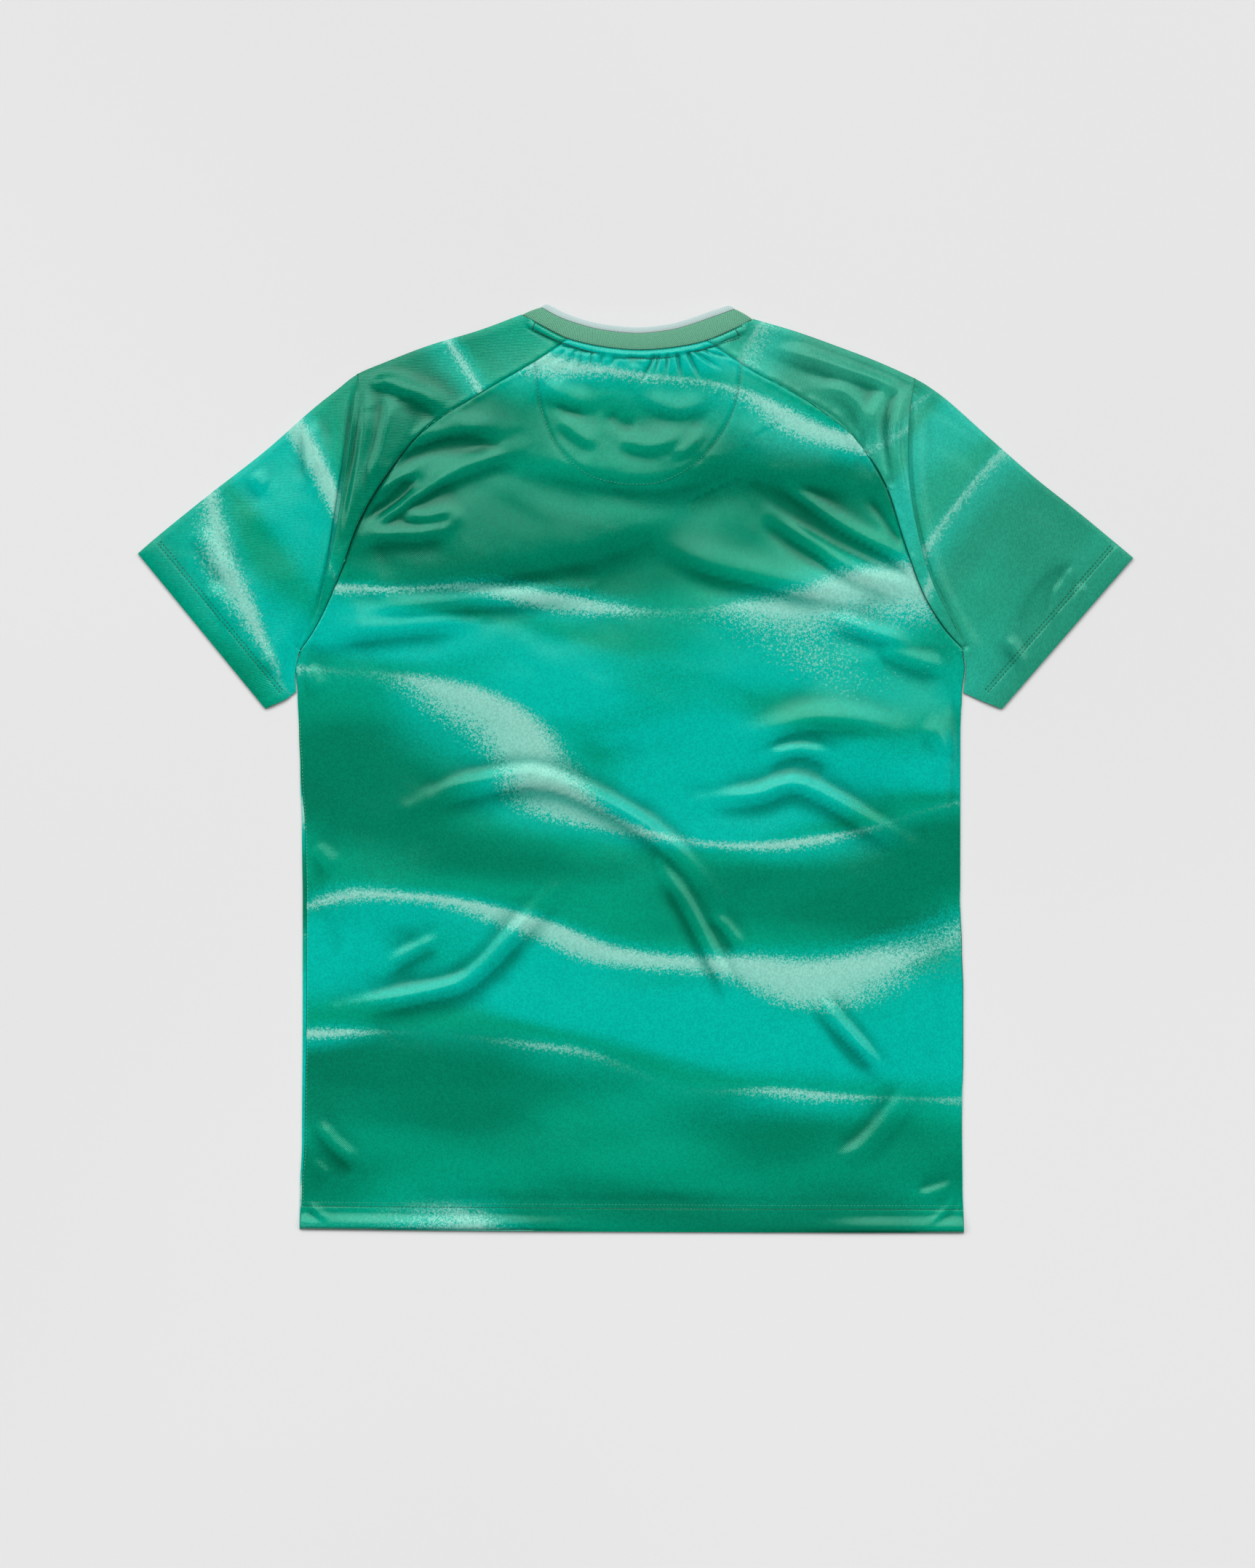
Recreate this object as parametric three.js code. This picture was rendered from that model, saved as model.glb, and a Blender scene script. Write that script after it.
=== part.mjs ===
// A short-sleeved raglan training T-shirt, laid flat with its back upwards.
// Millimetres, +Z up, +Y towards the neck, +X to the right of someone looking down on it.
// The origin is under the middle of the outline, on the surface that the shirt lies on.
// Every piece is a wall of cloth: an outer grid of points, an inner grid, and a rim that joins them.
import * as THREE from "three";

// Driving sizes
const WALL = 1.1; // knitted cloth
const HEM_WALL = 1.7; // a turned hem, two layers of cloth
const COLLAR_WALL = 1.4; // the collar's folded rib
const SEAM_GAP = 0.3; // between two pieces along a seam
const LAYER_GAP = 0.4; // between the panels that lie on each other
const LOFT = 2.4; // how high the upper layer lies over the lower one, away from the edges
const LOFT_REACH = 55; // how far from an edge the loft is complete
const BODY_HEM = 22;
const HEM_SAG = 0.8; // how far the hem's middle hangs below its corners
const SLEEVE_HEM = 20;
const FOLD_SHAPE = 0.6; // a folded edge's radius in plan, as a share of its height
const WELT_WIDTH = 6.5; // the taped seam allowance under the back of the collar
const WELT_RISE = 0.6;
const FACING_RISE = 0.3; // the half-moon sewn inside the back of the neck, as it lifts the cloth
const RIM_RISE = 1.9; // the front panel's edge where it is turned up beside the back panel
const RIM_SLOPE = 0.4;
const FOLD_STEPS = 4; // flats round a folded edge

const UPPER = WALL + LAYER_GAP; // the underside of the upper layer, where nothing lifts it
const COLLAR_UPPER = 2.1; // the same for the collar's upper layer
const COLLAR_TOP = COLLAR_UPPER + COLLAR_WALL;

// Outlines in plan, each row [x, y], from the neck outwards or downwards
const point = ([x, y]) => new THREE.Vector2(x, y);
const outline = (rows) => new THREE.SplineCurve(rows.map(point));

// Collar: the seam that joins it to the body, its upper edge, and the pale edge's own upper edge.
// Each runs from the left end to the right end.
const NECK_BACK = outline([
  [-92.4, 369.6], [-65.4, 354.8], [-51.2, 348.7], [-27, 343.2],
  [0.9, 340.5], [28, 342.2], [54.8, 347.4], [80.8, 358.2], [95.3, 366],
]); // prettier-ignore
const COLLAR_BACK = outline([
  [-77.4, 375.6], [-61.9, 367], [-44.7, 360.8], [-26.9, 356.4],
  [0.6, 353.6], [26.9, 356.1], [44.1, 360.5], [61.3, 366.6], [81.4, 374.1],
]); // prettier-ignore
const EDGE_BACK = outline([
  [-72.5, 378.3], [-58.5, 371], [-43, 365.2], [-26, 361.2],
  [0.6, 358.6], [26, 361], [42.8, 365.4], [59.5, 371.4], [76.1, 377.1],
]); // prettier-ignore
const NECK_FRONT = outline([
  [-92.4, 369.6], [-86, 340], [-68, 306], [-38, 281],
  [0, 273], [39, 281], [70, 306], [88, 338], [95.3, 366],
]); // prettier-ignore
const COLLAR_FRONT = outline([
  [-77.4, 375.6], [-73, 343], [-57.5, 315], [-32, 293.6],
  [0, 286.2], [33, 293.6], [59, 315], [75, 342], [81.4, 374.1],
]); // prettier-ignore
const EDGE_FRONT = outline([
  [-72.5, 378.3], [-68, 344], [-54, 318], [-30, 298.6],
  [0, 291.6], [31, 298.6], [55.5, 318], [70, 344], [76.1, 377.1],
]); // prettier-ignore

// Where the four raglan seams meet the collar, as shares of the neck seam's length
const MEETS_BACK = { left: 0.215, right: 0.79 };
const MEETS_FRONT = { left: 0.14, right: 0.86 };

const neckPoint = (curve, share) => curve.getPointAt(share).toArray();

// The two sleeves. The raglan seams run from the collar to the underarm, the yoke from the collar along
// the shoulder to the pleat, the overarm from there to the cuff. The pleat is where the sleeve tucks
// under itself, from the shoulder down to the underarm. The underarm edge runs beside the body to the cuff.
const SLEEVES = {
  left: {
    raglanBack: outline([
      neckPoint(NECK_BACK, MEETS_BACK.left),
      [-81, 331.5], [-112, 314], [-138, 298.5], [-171, 276.5], [-198.5, 244],
      [-223.5, 202.5], [-239, 161], [-253.5, 128], [-264, 109], [-272, 98],
    ]),
    raglanFront: outline([
      neckPoint(NECK_FRONT, MEETS_FRONT.left),
      [-120, 306], [-165, 261], [-205, 213], [-236, 166], [-257, 126], [-272, 98],
    ]),
    yoke: outline([[-92.4, 369.6], [-127, 356.7], [-168, 344.3], [-204, 330.5], [-226, 321]]),
    pleat: outline([
      [-226, 321], [-230, 290], [-234, 255], [-239, 222], [-245, 184],
      [-254.5, 140], [-261, 120], [-272, 98],
    ]),
    overarm: outline([
      [-226, 321], [-242.5, 308.4], [-264.6, 290.7], [-301.3, 258.3],
      [-344.8, 224.4], [-382.4, 194.2], [-404.6, 175.2],
    ]),
    underarm: [[-272.8, 97.6], [-276.8, 82], [-275.6, 62], [-283.5, 57], [-301, 48.9]],
    hemAt: { over: 0.913, under: 0.68 },
    pleatRise: 4.2,
  },
  right: {
    raglanBack: outline([
      neckPoint(NECK_BACK, MEETS_BACK.right),
      [94, 324.5], [117.5, 312], [140, 299], [164, 284], [185.6, 260],
      [204, 229], [217.5, 187], [233, 144], [250, 116], [266, 98],
    ]),
    raglanFront: outline([
      neckPoint(NECK_FRONT, MEETS_FRONT.right),
      [120, 306], [162, 261], [201, 213], [231, 166], [251, 126], [266, 98],
    ]),
    yoke: outline([[95.3, 366], [130, 355.8], [164, 343.7], [196, 331.5], [227, 317.5]]),
    pleat: outline([
      [227, 317.5], [223, 290], [221.5, 262], [222.5, 235], [227, 202],
      [238.5, 158], [252, 129], [266, 98],
    ]),
    overarm: outline([
      [227, 317.5], [242.4, 308.1], [257.2, 296.6], [286.8, 270],
      [324, 237.4], [362, 207.2], [404.6, 171.7],
    ]),
    underarm: [[267.4, 97.5], [269.2, 87], [269, 80], [266.8, 61], [280.5, 55.4], [297.9, 48.7]],
    hemAt: { over: 0.913, under: 0.68 },
    pleatRise: 3.6,
  },
};

// The body's side edges, from the underarm to the hem. Inset is how far inside the front panel's
// edge the back panel stops, where the side seam has rolled onto the back.
const SIDES = {
  left: [
    { y: 98, x: -272.6, inset: 0.2 },
    { y: 82, x: -276.4, inset: 0.2 },
    { y: 60, x: -275, inset: 0.2 },
    { y: 30, x: -273.8, inset: 0.4 },
    { y: 0, x: -272.8, inset: 1.2 },
    { y: -55, x: -271.4, inset: 3.2 },
    { y: -108, x: -270.8, inset: 3.4 },
    { y: -200, x: -270.8, inset: 3.4 },
    { y: -304, x: -271.4, inset: 2.6 },
    { y: -340, x: -272.8, inset: 1.8 },
    { y: -374.2, x: -273.4, inset: 1.2 },
  ],
  right: [
    { y: 98, x: 266.2, inset: 0.2 },
    { y: 82, x: 267.6, inset: 0.2 },
    { y: 60, x: 265.6, inset: 0.2 },
    { y: 30, x: 264.4, inset: 0.4 },
    { y: -108, x: 264.3, inset: 0.6 },
    { y: -145, x: 265.6, inset: 0.6 },
    { y: -180, x: 266.7, inset: 0.6 },
    { y: -233, x: 266.7, inset: 0.6 },
    { y: -286, x: 265.7, inset: 0.6 },
    { y: -340, x: 266.2, inset: 0.6 },
    { y: -377.2, x: 267.3, inset: 0.6 },
  ],
};

// The largest folds of the back and the sleeves. A trough has a negative rise, and reach is half the
// width. The rows after it are [x, y] along the fold.
const fold = (name, { rise, reach }, ...path) => ({ name, rise, reach, path });
const BACK_FOLDS = [
  fold("across the middle", { rise: 3.6, reach: 14 },
    [-186, -33], [-138, -17], [-91, -8], [-58, -12], [-20, -30], [16, -52], [45, -79], [69, -108]),
  fold("below the middle", { rise: 2.6, reach: 9 }, [19, -82], [48, -127], [71, -162], [93, -194]),
  fold("towards the right side", { rise: 3.4, reach: 12 },
    [69, -25], [102, -24], [129, -15], [158, -25], [190, -43], [214, -61]),
  fold("above that one", { rise: 2.2, reach: 9 }, [110, 9], [137, 11], [164, 3]),
  fold("from the left side", { rise: 3.4, reach: 12 },
    [-239, -196], [-186, -185], [-144, -175], [-119, -156], [-100, -135], [-67, -99]),
  fold("small one above it", { rise: 1.8, reach: 8 }, [-203, -162], [-183, -149], [-159, -137]),
  fold("low on the right", { rise: 2.2, reach: 9 }, [151, -190], [170, -214], [196, -239]),
  fold("low on the left", { rise: 1.6, reach: 7 }, [-262, -287], [-245, -305], [-221, -324]),
  fold("hollow by the right side", { rise: -1.4, reach: 12 }, [237, -284], [223, -300], [209, -316]),
  fold("upper crease by the left raglan", { rise: 2.6, reach: 7 },
    [-222, 201], [-194, 214], [-168, 234], [-138, 247]),
  fold("middle crease by the left raglan", { rise: 2.2, reach: 8 },
    [-194, 204], [-171, 217], [-138, 232], [-115, 250]),
  fold("lower crease by the left raglan", { rise: 2.6, reach: 8 },
    [-228, 179], [-209, 192], [-180, 195], [-151, 200]),
  fold("hollow by the left raglan", { rise: -1.6, reach: 13 }, [-203, 235], [-180, 254], [-132, 263]),
  fold("left chest", { rise: 2.4, reach: 15 }, [-251, 105], [-209, 113], [-162, 121], [-115, 123]),
  fold("hollow above the left chest", { rise: -1.2, reach: 13 }, [-239, 131], [-197, 137], [-138, 143]),
  fold("hollow across the right shoulder blade", { rise: -1.6, reach: 10 },
    [104, 235], [140, 217], [181, 191]),
  fold("under that hollow", { rise: 1.8, reach: 9 }, [116, 217], [152, 194], [193, 173]),
  fold("hollow below the right underarm", { rise: -1.4, reach: 12 }, [235, 63], [252, 40]),
  fold("hollow under the neck", { rise: -0.9, reach: 9 }, [-76, 318], [-49, 308], [-26, 312], [16, 318]),
];
const SLEEVE_FOLDS = [
  fold("top of the left pleat", { rise: 3, reach: 11 }, [-221, 320], [-197, 312], [-174, 304], [-155, 293]),
  fold("beyond the left pleat", { rise: 2.2, reach: 14 }, [-262, 292], [-256, 262], [-254, 230]),
  fold("hollow along the right overarm", { rise: -1.5, reach: 10 },
    [164, 330], [196, 320], [226, 311], [244, 294], [264, 270], [288, 250]),
  fold("by the right cuff", { rise: 1.8, reach: 8 }, [318, 152], [330, 132], [331, 108]),
]; // prettier-ignore

// Gathers under the back of the collar: where each meets the collar, how far it leans, and its length
const GATHERS = [
  { x: -38, lean: 2, length: 20 },
  { x: -24, lean: -1, length: 24 },
  { x: 8, lean: -4, length: 16 },
  { x: 17, lean: -3, length: 24 },
  { x: 25, lean: 0, length: 26 },
  { x: 33, lean: 3, length: 24 },
  { x: 42, lean: 8, length: 28 },
  { x: 52, lean: 12, length: 26 },
];
const GATHER_RISE = 0.8;
const GATHER_REACH = 3.2;

// The half-moon facing's edge, as half an ellipse hung from the raglan seams
const FACING = { x: 1.6, top: 330, halfWidth: 84, depth: 99 };

const smooth = (low, high, value) => {
  const t = THREE.MathUtils.clamp((value - low) / (high - low), 0, 1);
  return t * t * (3 - 2 * t);
};

// The nearest place on a polyline: how far off it is, on which side, and how far along, from 0 to 1
function nearest(path, x, y) {
  let best = { distance: Infinity, side: 1, along: 0 };
  for (let i = 0; i + 1 < path.length; i++) {
    const [ax, ay] = path[i];
    const [dx, dy] = [path[i + 1][0] - ax, path[i + 1][1] - ay];
    const t = THREE.MathUtils.clamp(((x - ax) * dx + (y - ay) * dy) / (dx * dx + dy * dy), 0, 1);
    const distance = Math.hypot(x - ax - t * dx, y - ay - t * dy);
    if (distance < best.distance) {
      const side = Math.sign(dx * (y - ay) - dy * (x - ax)) || 1;
      best = { distance, side, along: (i + t) / (path.length - 1) };
    }
  }
  return best;
}

const points = (curve, steps) => curve.getSpacedPoints(steps).map((p) => p.toArray());
const edgePath = (side) => SIDES[side].map((row) => [row.x, row.y]);

// Everything that bounds the garment, apart from the neck: the loft falls to nothing there
const EDGES = ["left", "right"].flatMap((side) => {
  const sleeve = SLEEVES[side];
  const cuff = [sleeve.overarm.points.at(-1).toArray(), sleeve.underarm.at(-1)];
  return [points(sleeve.yoke, 8), points(sleeve.overarm, 8), cuff, sleeve.underarm, edgePath(side)];
});
EDGES.push([edgePath("left").at(-1), edgePath("right").at(-1)]);

const PLEAT_LINES = {
  left: points(SLEEVES.left.pleat, 24),
  right: points(SLEEVES.right.pleat, 24).reverse(),
};

// Across a pleat, from its folded edge towards the neck: the share of its rise at each distance
const PLEAT_PROFILE = [
  { off: -1.7, share: 0 },
  { off: -0.1, share: 0.5 },
  { off: 2.5, share: 0.85 },
  { off: 7, share: 1 },
  { off: 14, share: 0.55 },
  { off: 22, share: 0.7 },
  { off: 34, share: 0.2 },
  { off: 48, share: 0 },
];

// A table's value at a place between its rows, eased so that rows show no corners
function eased(rows, key, value, at) {
  if (at <= rows[0][key]) return rows[0][value];
  for (let i = 1; i < rows.length; i++) {
    const [low, high] = [rows[i - 1], rows[i]];
    if (at <= high[key]) {
      const t = smooth(low[key], high[key], at);
      return low[value] + (high[value] - low[value]) * t;
    }
  }
  return rows.at(-1)[value];
}

function pleatLift(side, x, y) {
  const { distance, side: turn, along } = nearest(PLEAT_LINES[side], x, y);
  const off = distance < 0.05 ? 0 : distance * turn;
  const ends = smooth(0, 0.12, along) * smooth(1, 0.86, along);
  return SLEEVES[side].pleatRise * ends * eased(PLEAT_PROFILE, "off", "share", off);
}

function gatherLift(x, y) {
  const below = NECK_BACK.points[4].y + 0.0009 * x * x - WELT_WIDTH - y;
  return GATHERS.reduce((sum, gather) => {
    const t = below / gather.length;
    if (t < 0 || t > 1) return sum;
    const off = (x - gather.x - gather.lean * t) / GATHER_REACH;
    return sum + GATHER_RISE * Math.sin(Math.PI * Math.sqrt(t)) * Math.exp(-off * off);
  }, 0);
}

function foldLift({ rise, reach, path }, x, y) {
  const { distance, along } = nearest(path, x, y);
  const ends = smooth(0, 0.25, along) * smooth(1, 0.75, along);
  return rise * (0.25 + 0.75 * ends) * Math.exp(-((distance / reach) ** 2));
}

// How far the upper layer is lifted at a place: loft, then folds, pleats and gathers on it
function lift(x, y) {
  const edge = Math.min(...EDGES.map((path) => nearest(path, x, y).distance));
  const inside = smooth(0, LOFT_REACH, edge);
  const nearEdge = smooth(0, 14, edge);
  const folds = [...BACK_FOLDS, ...SLEEVE_FOLDS].reduce((sum, row) => sum + foldLift(row, x, y), 0);
  const total = LOFT * inside + (folds + gatherLift(x, y)) * nearEdge;
  const soft = total > 1 ? total : Math.exp(total - 1); // a trough never reaches the layer below
  const pleats = pleatLift("left", x, y) + pleatLift("right", x, y);
  return soft * smooth(0, 4, edge) + pleats * smooth(0, 9, edge);
}

// How far the sleeves ride up towards the ends of the collar, where the folded layers meet
function rideUp(x, y) {
  const ends = [NECK_BACK.points[0], NECK_BACK.points.at(-1)];
  const nearestEnd = Math.min(...ends.map((end) => Math.hypot(x - end.x, y - end.y)));
  return (COLLAR_TOP - UPPER - WALL) * smooth(45, 4, nearestEnd);
}

// The wall's upright thickness where it slopes, so that it stays as thick as it is when flat
function upright(x, y, wall) {
  const step = 1.5;
  const slopeX = (lift(x + step, y) - lift(x - step, y)) / (2 * step);
  const slopeY = (lift(x, y + step) - lift(x, y - step)) / (2 * step);
  return wall * Math.min(1.5, Math.hypot(1, slopeX, slopeY));
}

// A closed wall from two grids of the same size, rows of points on its outer and its inner side.
// A ring joins each row's last point to its first.
function wall(outer, inner, ring = false) {
  const [rows, columns] = [outer.length, outer[0].length];
  const positions = [...outer.flat(), ...inner.flat()].flatMap((p) => p.toArray());
  const index = [];
  const at = (layer, row, column) => layer * rows * columns + (row % rows) * columns + column;
  const quad = (a, b, c, d) => index.push(a, b, c, a, c, d);
  const lastRow = ring ? rows : rows - 1;
  for (let i = 0; i < lastRow; i++) {
    for (let j = 0; j + 1 < columns; j++) {
      quad(at(0, i, j), at(0, i + 1, j), at(0, i + 1, j + 1), at(0, i, j + 1));
      quad(at(1, i, j), at(1, i, j + 1), at(1, i + 1, j + 1), at(1, i + 1, j));
    }
    const last = columns - 1;
    quad(at(0, i, 0), at(1, i, 0), at(1, i + 1, 0), at(0, i + 1, 0));
    quad(at(0, i, last), at(0, i + 1, last), at(1, i + 1, last), at(1, i, last));
  }
  for (let j = 0; !ring && j + 1 < columns; j++) {
    const end = rows - 1;
    quad(at(0, 0, j), at(0, 0, j + 1), at(1, 0, j + 1), at(1, 0, j));
    quad(at(0, end, j), at(1, end, j), at(1, end, j + 1), at(0, end, j + 1));
  }
  const geometry = new THREE.BufferGeometry();
  geometry.setAttribute("position", new THREE.Float32BufferAttribute(positions, 3));
  geometry.setIndex(facesOut(positions, index) ? index : index.reverse());
  geometry.computeVertexNormals();
  return geometry;
}

// Whether a closed mesh's faces point outwards, from the sign of its volume
function facesOut(positions, index) {
  const corner = (i) => new THREE.Vector3().fromArray(positions, index[i] * 3);
  let volume = 0;
  for (let i = 0; i < index.length; i += 3) {
    volume += corner(i).dot(corner(i + 1).cross(corner(i + 2)));
  }
  return volume > 0;
}

// Shares of the way along the raglan seams where every piece beside them has a row, closer at the pleat
const RAGLAN_ROWS = [
  0, 0.02, 0.045, 0.085, 0.14, 0.21, 0.28, 0.35, 0.42, 0.49, 0.56,
  0.63, 0.7, 0.76, 0.815, 0.865, 0.905, 0.94, 0.965, 0.985, 1,
]; // prettier-ignore
// Shares of the way from the pleat to the cuff. The first row is at the foot of the pleat
const ARM_ROWS = [0.012, 0.04, 0.08, 0.13, 0.2, 0.28, 0.37, 0.46, 0.55, 0.64, 0.74, 0.83, 0.91, 0.92, 1];
const SLEEVE_COLUMNS = 11; // across a sleeve's upper layer
const SLEEVE_UNDER_COLUMNS = 4;
const BACK_COLUMNS = 34;
const FRONT_COLUMNS = 8;
const BODY_ROWS = 27; // from the underarm to the hem's stitches

const steps = (count) => Array.from({ length: count + 1 }, (_, i) => i / count);
const between = (a, b, t) => new THREE.Vector2().lerpVectors(a, b, t);

// How far a curve strays from the straight line between its ends
function strays(curve, t) {
  return curve(t).sub(between(curve(0), curve(1), t));
}

// The rows reach the yoke sooner than an even share of it, so that they cross the raglan seam at an angle
const YOKE_POWER = 0.55;

// Near the underarm the rows leave the pleat, which runs too close beside the raglan seam there
function pleatStrays(sleeve, t) {
  const pleatRow = (u) => sleeve.pleat.getPointAt(1 - u);
  return strays(pleatRow, t).multiplyScalar(smooth(0.14, 0.45, t));
}

// One row of a sleeve's layer in plan, from the seam to the overarm fold. The row at the neck follows
// the collar's seam and the row at the pleat follows the pleat; those between take after both.
function yokeRow(sleeve, seam, neckRow, pleatShare, share, t) {
  const plain = between(seam.getPointAt(share), sleeve.yoke.getPointAt(share ** YOKE_POWER), t);
  plain.addScaledVector(strays(neckRow, t), (1 - share) ** 2);
  return plain.addScaledVector(pleatStrays(sleeve, t), pleatShare * share ** 4);
}

// The place at a share of a polyline's length
function alongLine(rows, share) {
  const path = new THREE.CurvePath();
  for (let i = 0; i + 1 < rows.length; i++) {
    path.add(new THREE.LineCurve(point(rows[i]), point(rows[i + 1])));
  }
  return path.getPointAt(share);
}

function armRow(sleeve, pleatShare, share, t) {
  const { over, under } = sleeve.hemAt;
  const underShare = share < over ? (share / over) * under : 1 - ((1 - share) / (1 - over)) * (1 - under);
  const plain = between(alongLine(sleeve.underarm, underShare), sleeve.overarm.getPointAt(share), t);
  return plain.addScaledVector(pleatStrays(sleeve, t), pleatShare * (1 - share) ** 6);
}

// Moves a point of an edge off the seam, by half the gap, towards the piece's inside
function offSeam(edge, seam, share, inside) {
  const tangent = seam.getTangentAt(share);
  const across = new THREE.Vector2(-tangent.y, tangent.x);
  const turn = Math.sign(across.dot(inside.clone().sub(edge)));
  return edge.clone().addScaledVector(across, (turn * SEAM_GAP) / 2);
}

function upperPoint(plan, wallHere, outer) {
  const base = UPPER + rideUp(plan.x, plan.y) + lift(plan.x, plan.y);
  return new THREE.Vector3(plan.x, plan.y, outer ? base + upright(plan.x, plan.y, wallHere) : base);
}

// The points round a folded edge, from the upper layer down to the lower one. Over and under are the
// directions in plan, from the edge, in which the two layers lie.
function foldPoints(edge, over, under, top, wallHere) {
  const radius = top * FOLD_SHAPE;
  return steps(FOLD_STEPS).map((share) => {
    const angle = Math.PI * (0.5 - share);
    const inwards = between(over, under, share).normalize();
    const ring = (across, up) => {
      const plan = edge.clone().addScaledVector(inwards, radius - across * Math.cos(angle));
      return new THREE.Vector3(plan.x, plan.y, top / 2 + up * Math.sin(angle));
    };
    return { outer: ring(radius, top / 2), inner: ring(radius - wallHere, top / 2 - wallHere) };
  });
}

const direction = (from, to) => to.clone().sub(from).normalize();

function sleeveGeometry(side) {
  const sleeve = SLEEVES[side];
  const across = steps(SLEEVE_COLUMNS);
  const acrossUnder = steps(SLEEVE_UNDER_COLUMNS);
  const meets = { back: MEETS_BACK[side], front: MEETS_FRONT[side] };
  const fold = side === "left" ? 0 : 1;
  const neckRow = (curve, from) => (t) => curve.getPointAt(from + (fold - from) * t);
  const outer = [];
  const inner = [];

  const addRow = (upperPlan, lowerPlan, wallHere) => {
    const edge = upperPlan.at(-1);
    const over = direction(edge, upperPlan.at(-2));
    const under = direction(edge, lowerPlan.at(-2));
    const upper = upperPlan.slice(0, -1);
    const lower = lowerPlan.slice(0, -1).reverse();
    const turn = foldPoints(edge, over, under, UPPER + WALL + rideUp(edge.x, edge.y), WALL);
    outer.push([
      ...upper.map((p) => upperPoint(p, wallHere, true)),
      ...turn.map((p) => p.outer),
      ...lower.map((p) => new THREE.Vector3(p.x, p.y, 0)),
    ]);
    inner.push([
      ...upper.map((p) => upperPoint(p, wallHere, false)),
      ...turn.map((p) => p.inner),
      ...lower.map((p) => new THREE.Vector3(p.x, p.y, WALL)),
    ]);
  };

  for (const share of RAGLAN_ROWS) {
    const backNeck = neckRow(NECK_BACK, meets.back);
    const frontNeck = neckRow(NECK_FRONT, meets.front);
    const upper = across.map((t) => yokeRow(sleeve, sleeve.raglanBack, backNeck, 1, share, t));
    const lower = acrossUnder.map((t) => yokeRow(sleeve, sleeve.raglanFront, frontNeck, 0, share, t));
    if (share === 0) {
      const off = sleeve.yoke.getTangentAt(0).multiplyScalar(SEAM_GAP / 2);
      [...upper, ...lower].forEach((p) => p.add(off));
    }
    upper[0] = offSeam(upper[0], sleeve.raglanBack, share, upper[2]);
    lower[0] = offSeam(lower[0], sleeve.raglanFront, share, lower[2]);
    addRow(upper, lower, WALL);
  }
  for (const share of ARM_ROWS) {
    const upper = across.map((t) => armRow(sleeve, 1, share, t));
    const lower = acrossUnder.map((t) => armRow(sleeve, 0, share, t));
    addRow(upper, lower, share > sleeve.hemAt.over ? HEM_WALL : WALL);
  }
  return wall(outer, inner);
}

// A side edge of the body at a height, from its table
function sideAt(side, y) {
  return {
    x: eased(SIDES[side].map((row) => ({ down: -row.y, x: row.x })), "down", "x", -y),
    inset: eased(SIDES[side].map((row) => ({ down: -row.y, inset: row.inset })), "down", "inset", -y),
  };
}

// The ends of a body row in plan. Above the underarm they lie on the raglan seams, below it on the sides.
function rowEnds(seamOf, share) {
  return ["left", "right"].map((side) => seamOf(SLEEVES[side]).getPointAt(share));
}

// The place on a side edge at a share of the way down to the hem
function sideRow(side, share) {
  const [top, bottom] = [SIDES[side][0].y, SIDES[side].at(-1).y];
  const y = top + (bottom - top) * share;
  return { y, ...sideAt(side, y) };
}

// A row of a body panel below the underarm. The back panel stops short of the front panel's edges
function bodyRow(share, columns, isBack) {
  const [left, right] = ["left", "right"].map((side) => sideRow(side, share));
  const start = new THREE.Vector2(left.x + (isBack ? left.inset : 0), left.y);
  const end = new THREE.Vector2(right.x - (isBack ? right.inset : 0), right.y);
  return steps(columns).map((t) => {
    const p = between(start, end, t);
    p.y -= HEM_SAG * Math.sin(Math.PI * t) * share ** 8;
    return p;
  });
}

function raglanRow(seamOf, neck, meets, columns, share) {
  const [left, right] = rowEnds(seamOf, share);
  const neckRow = (t) => neck.getPointAt(meets.left + (meets.right - meets.left) * t);
  const row = steps(columns).map((t) =>
    between(left, right, t).addScaledVector(strays(neckRow, t), (1 - share) ** 1.5),
  );
  if (share === 0) row.forEach((p) => (p.y -= SEAM_GAP / 2));
  row[0] = offSeam(row[0], seamOf(SLEEVES.left), share, row[1]);
  row[columns] = offSeam(row[columns], seamOf(SLEEVES.right), share, row[columns - 1]);
  return row;
}

// Inside the half-moon facing, and on the welt just under the collar, the cloth is thicker
function facingRise(p, seamDistance) {
  const across = (p.x - FACING.x) / FACING.halfWidth;
  const down = (FACING.top - p.y) / FACING.depth;
  const inside = 1 - Math.hypot(across, Math.max(0, down));
  const welt = WELT_RISE * smooth(WELT_WIDTH + 1, WELT_WIDTH, seamDistance);
  return FACING_RISE * smooth(0, 0.03, inside) + welt;
}

// Shares of the way from the underarm to the hem
const HEM_SHARE = 1 - BODY_HEM / (SIDES.left[0].y - SIDES.left.at(-1).y);
const HEM_ROWS = [HEM_SHARE + 0.003, (HEM_SHARE + 1) / 2, 1];
const BODY_SHARES = [...steps(BODY_ROWS).slice(1).map((t) => t * HEM_SHARE), ...HEM_ROWS];

function backGeometry() {
  const top = (share) => raglanRow((s) => s.raglanBack, NECK_BACK, MEETS_BACK, BACK_COLUMNS, share);
  const plans = [...RAGLAN_ROWS.map(top), ...BODY_SHARES.map((share) => bodyRow(share, BACK_COLUMNS, true))];
  const hemRows = plans.length - HEM_ROWS.length;
  const seam = points(NECK_BACK, 24);
  const outer = plans.map((row, i) =>
    row.map((p) => {
      const made = upperPoint(p, i >= hemRows ? HEM_WALL : WALL, true);
      made.z += facingRise(p, nearest(seam, p.x, p.y).distance);
      return made;
    }),
  );
  const inner = plans.map((row) => row.map((p) => upperPoint(p, WALL, false)));
  return wall(outer, inner);
}

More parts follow.
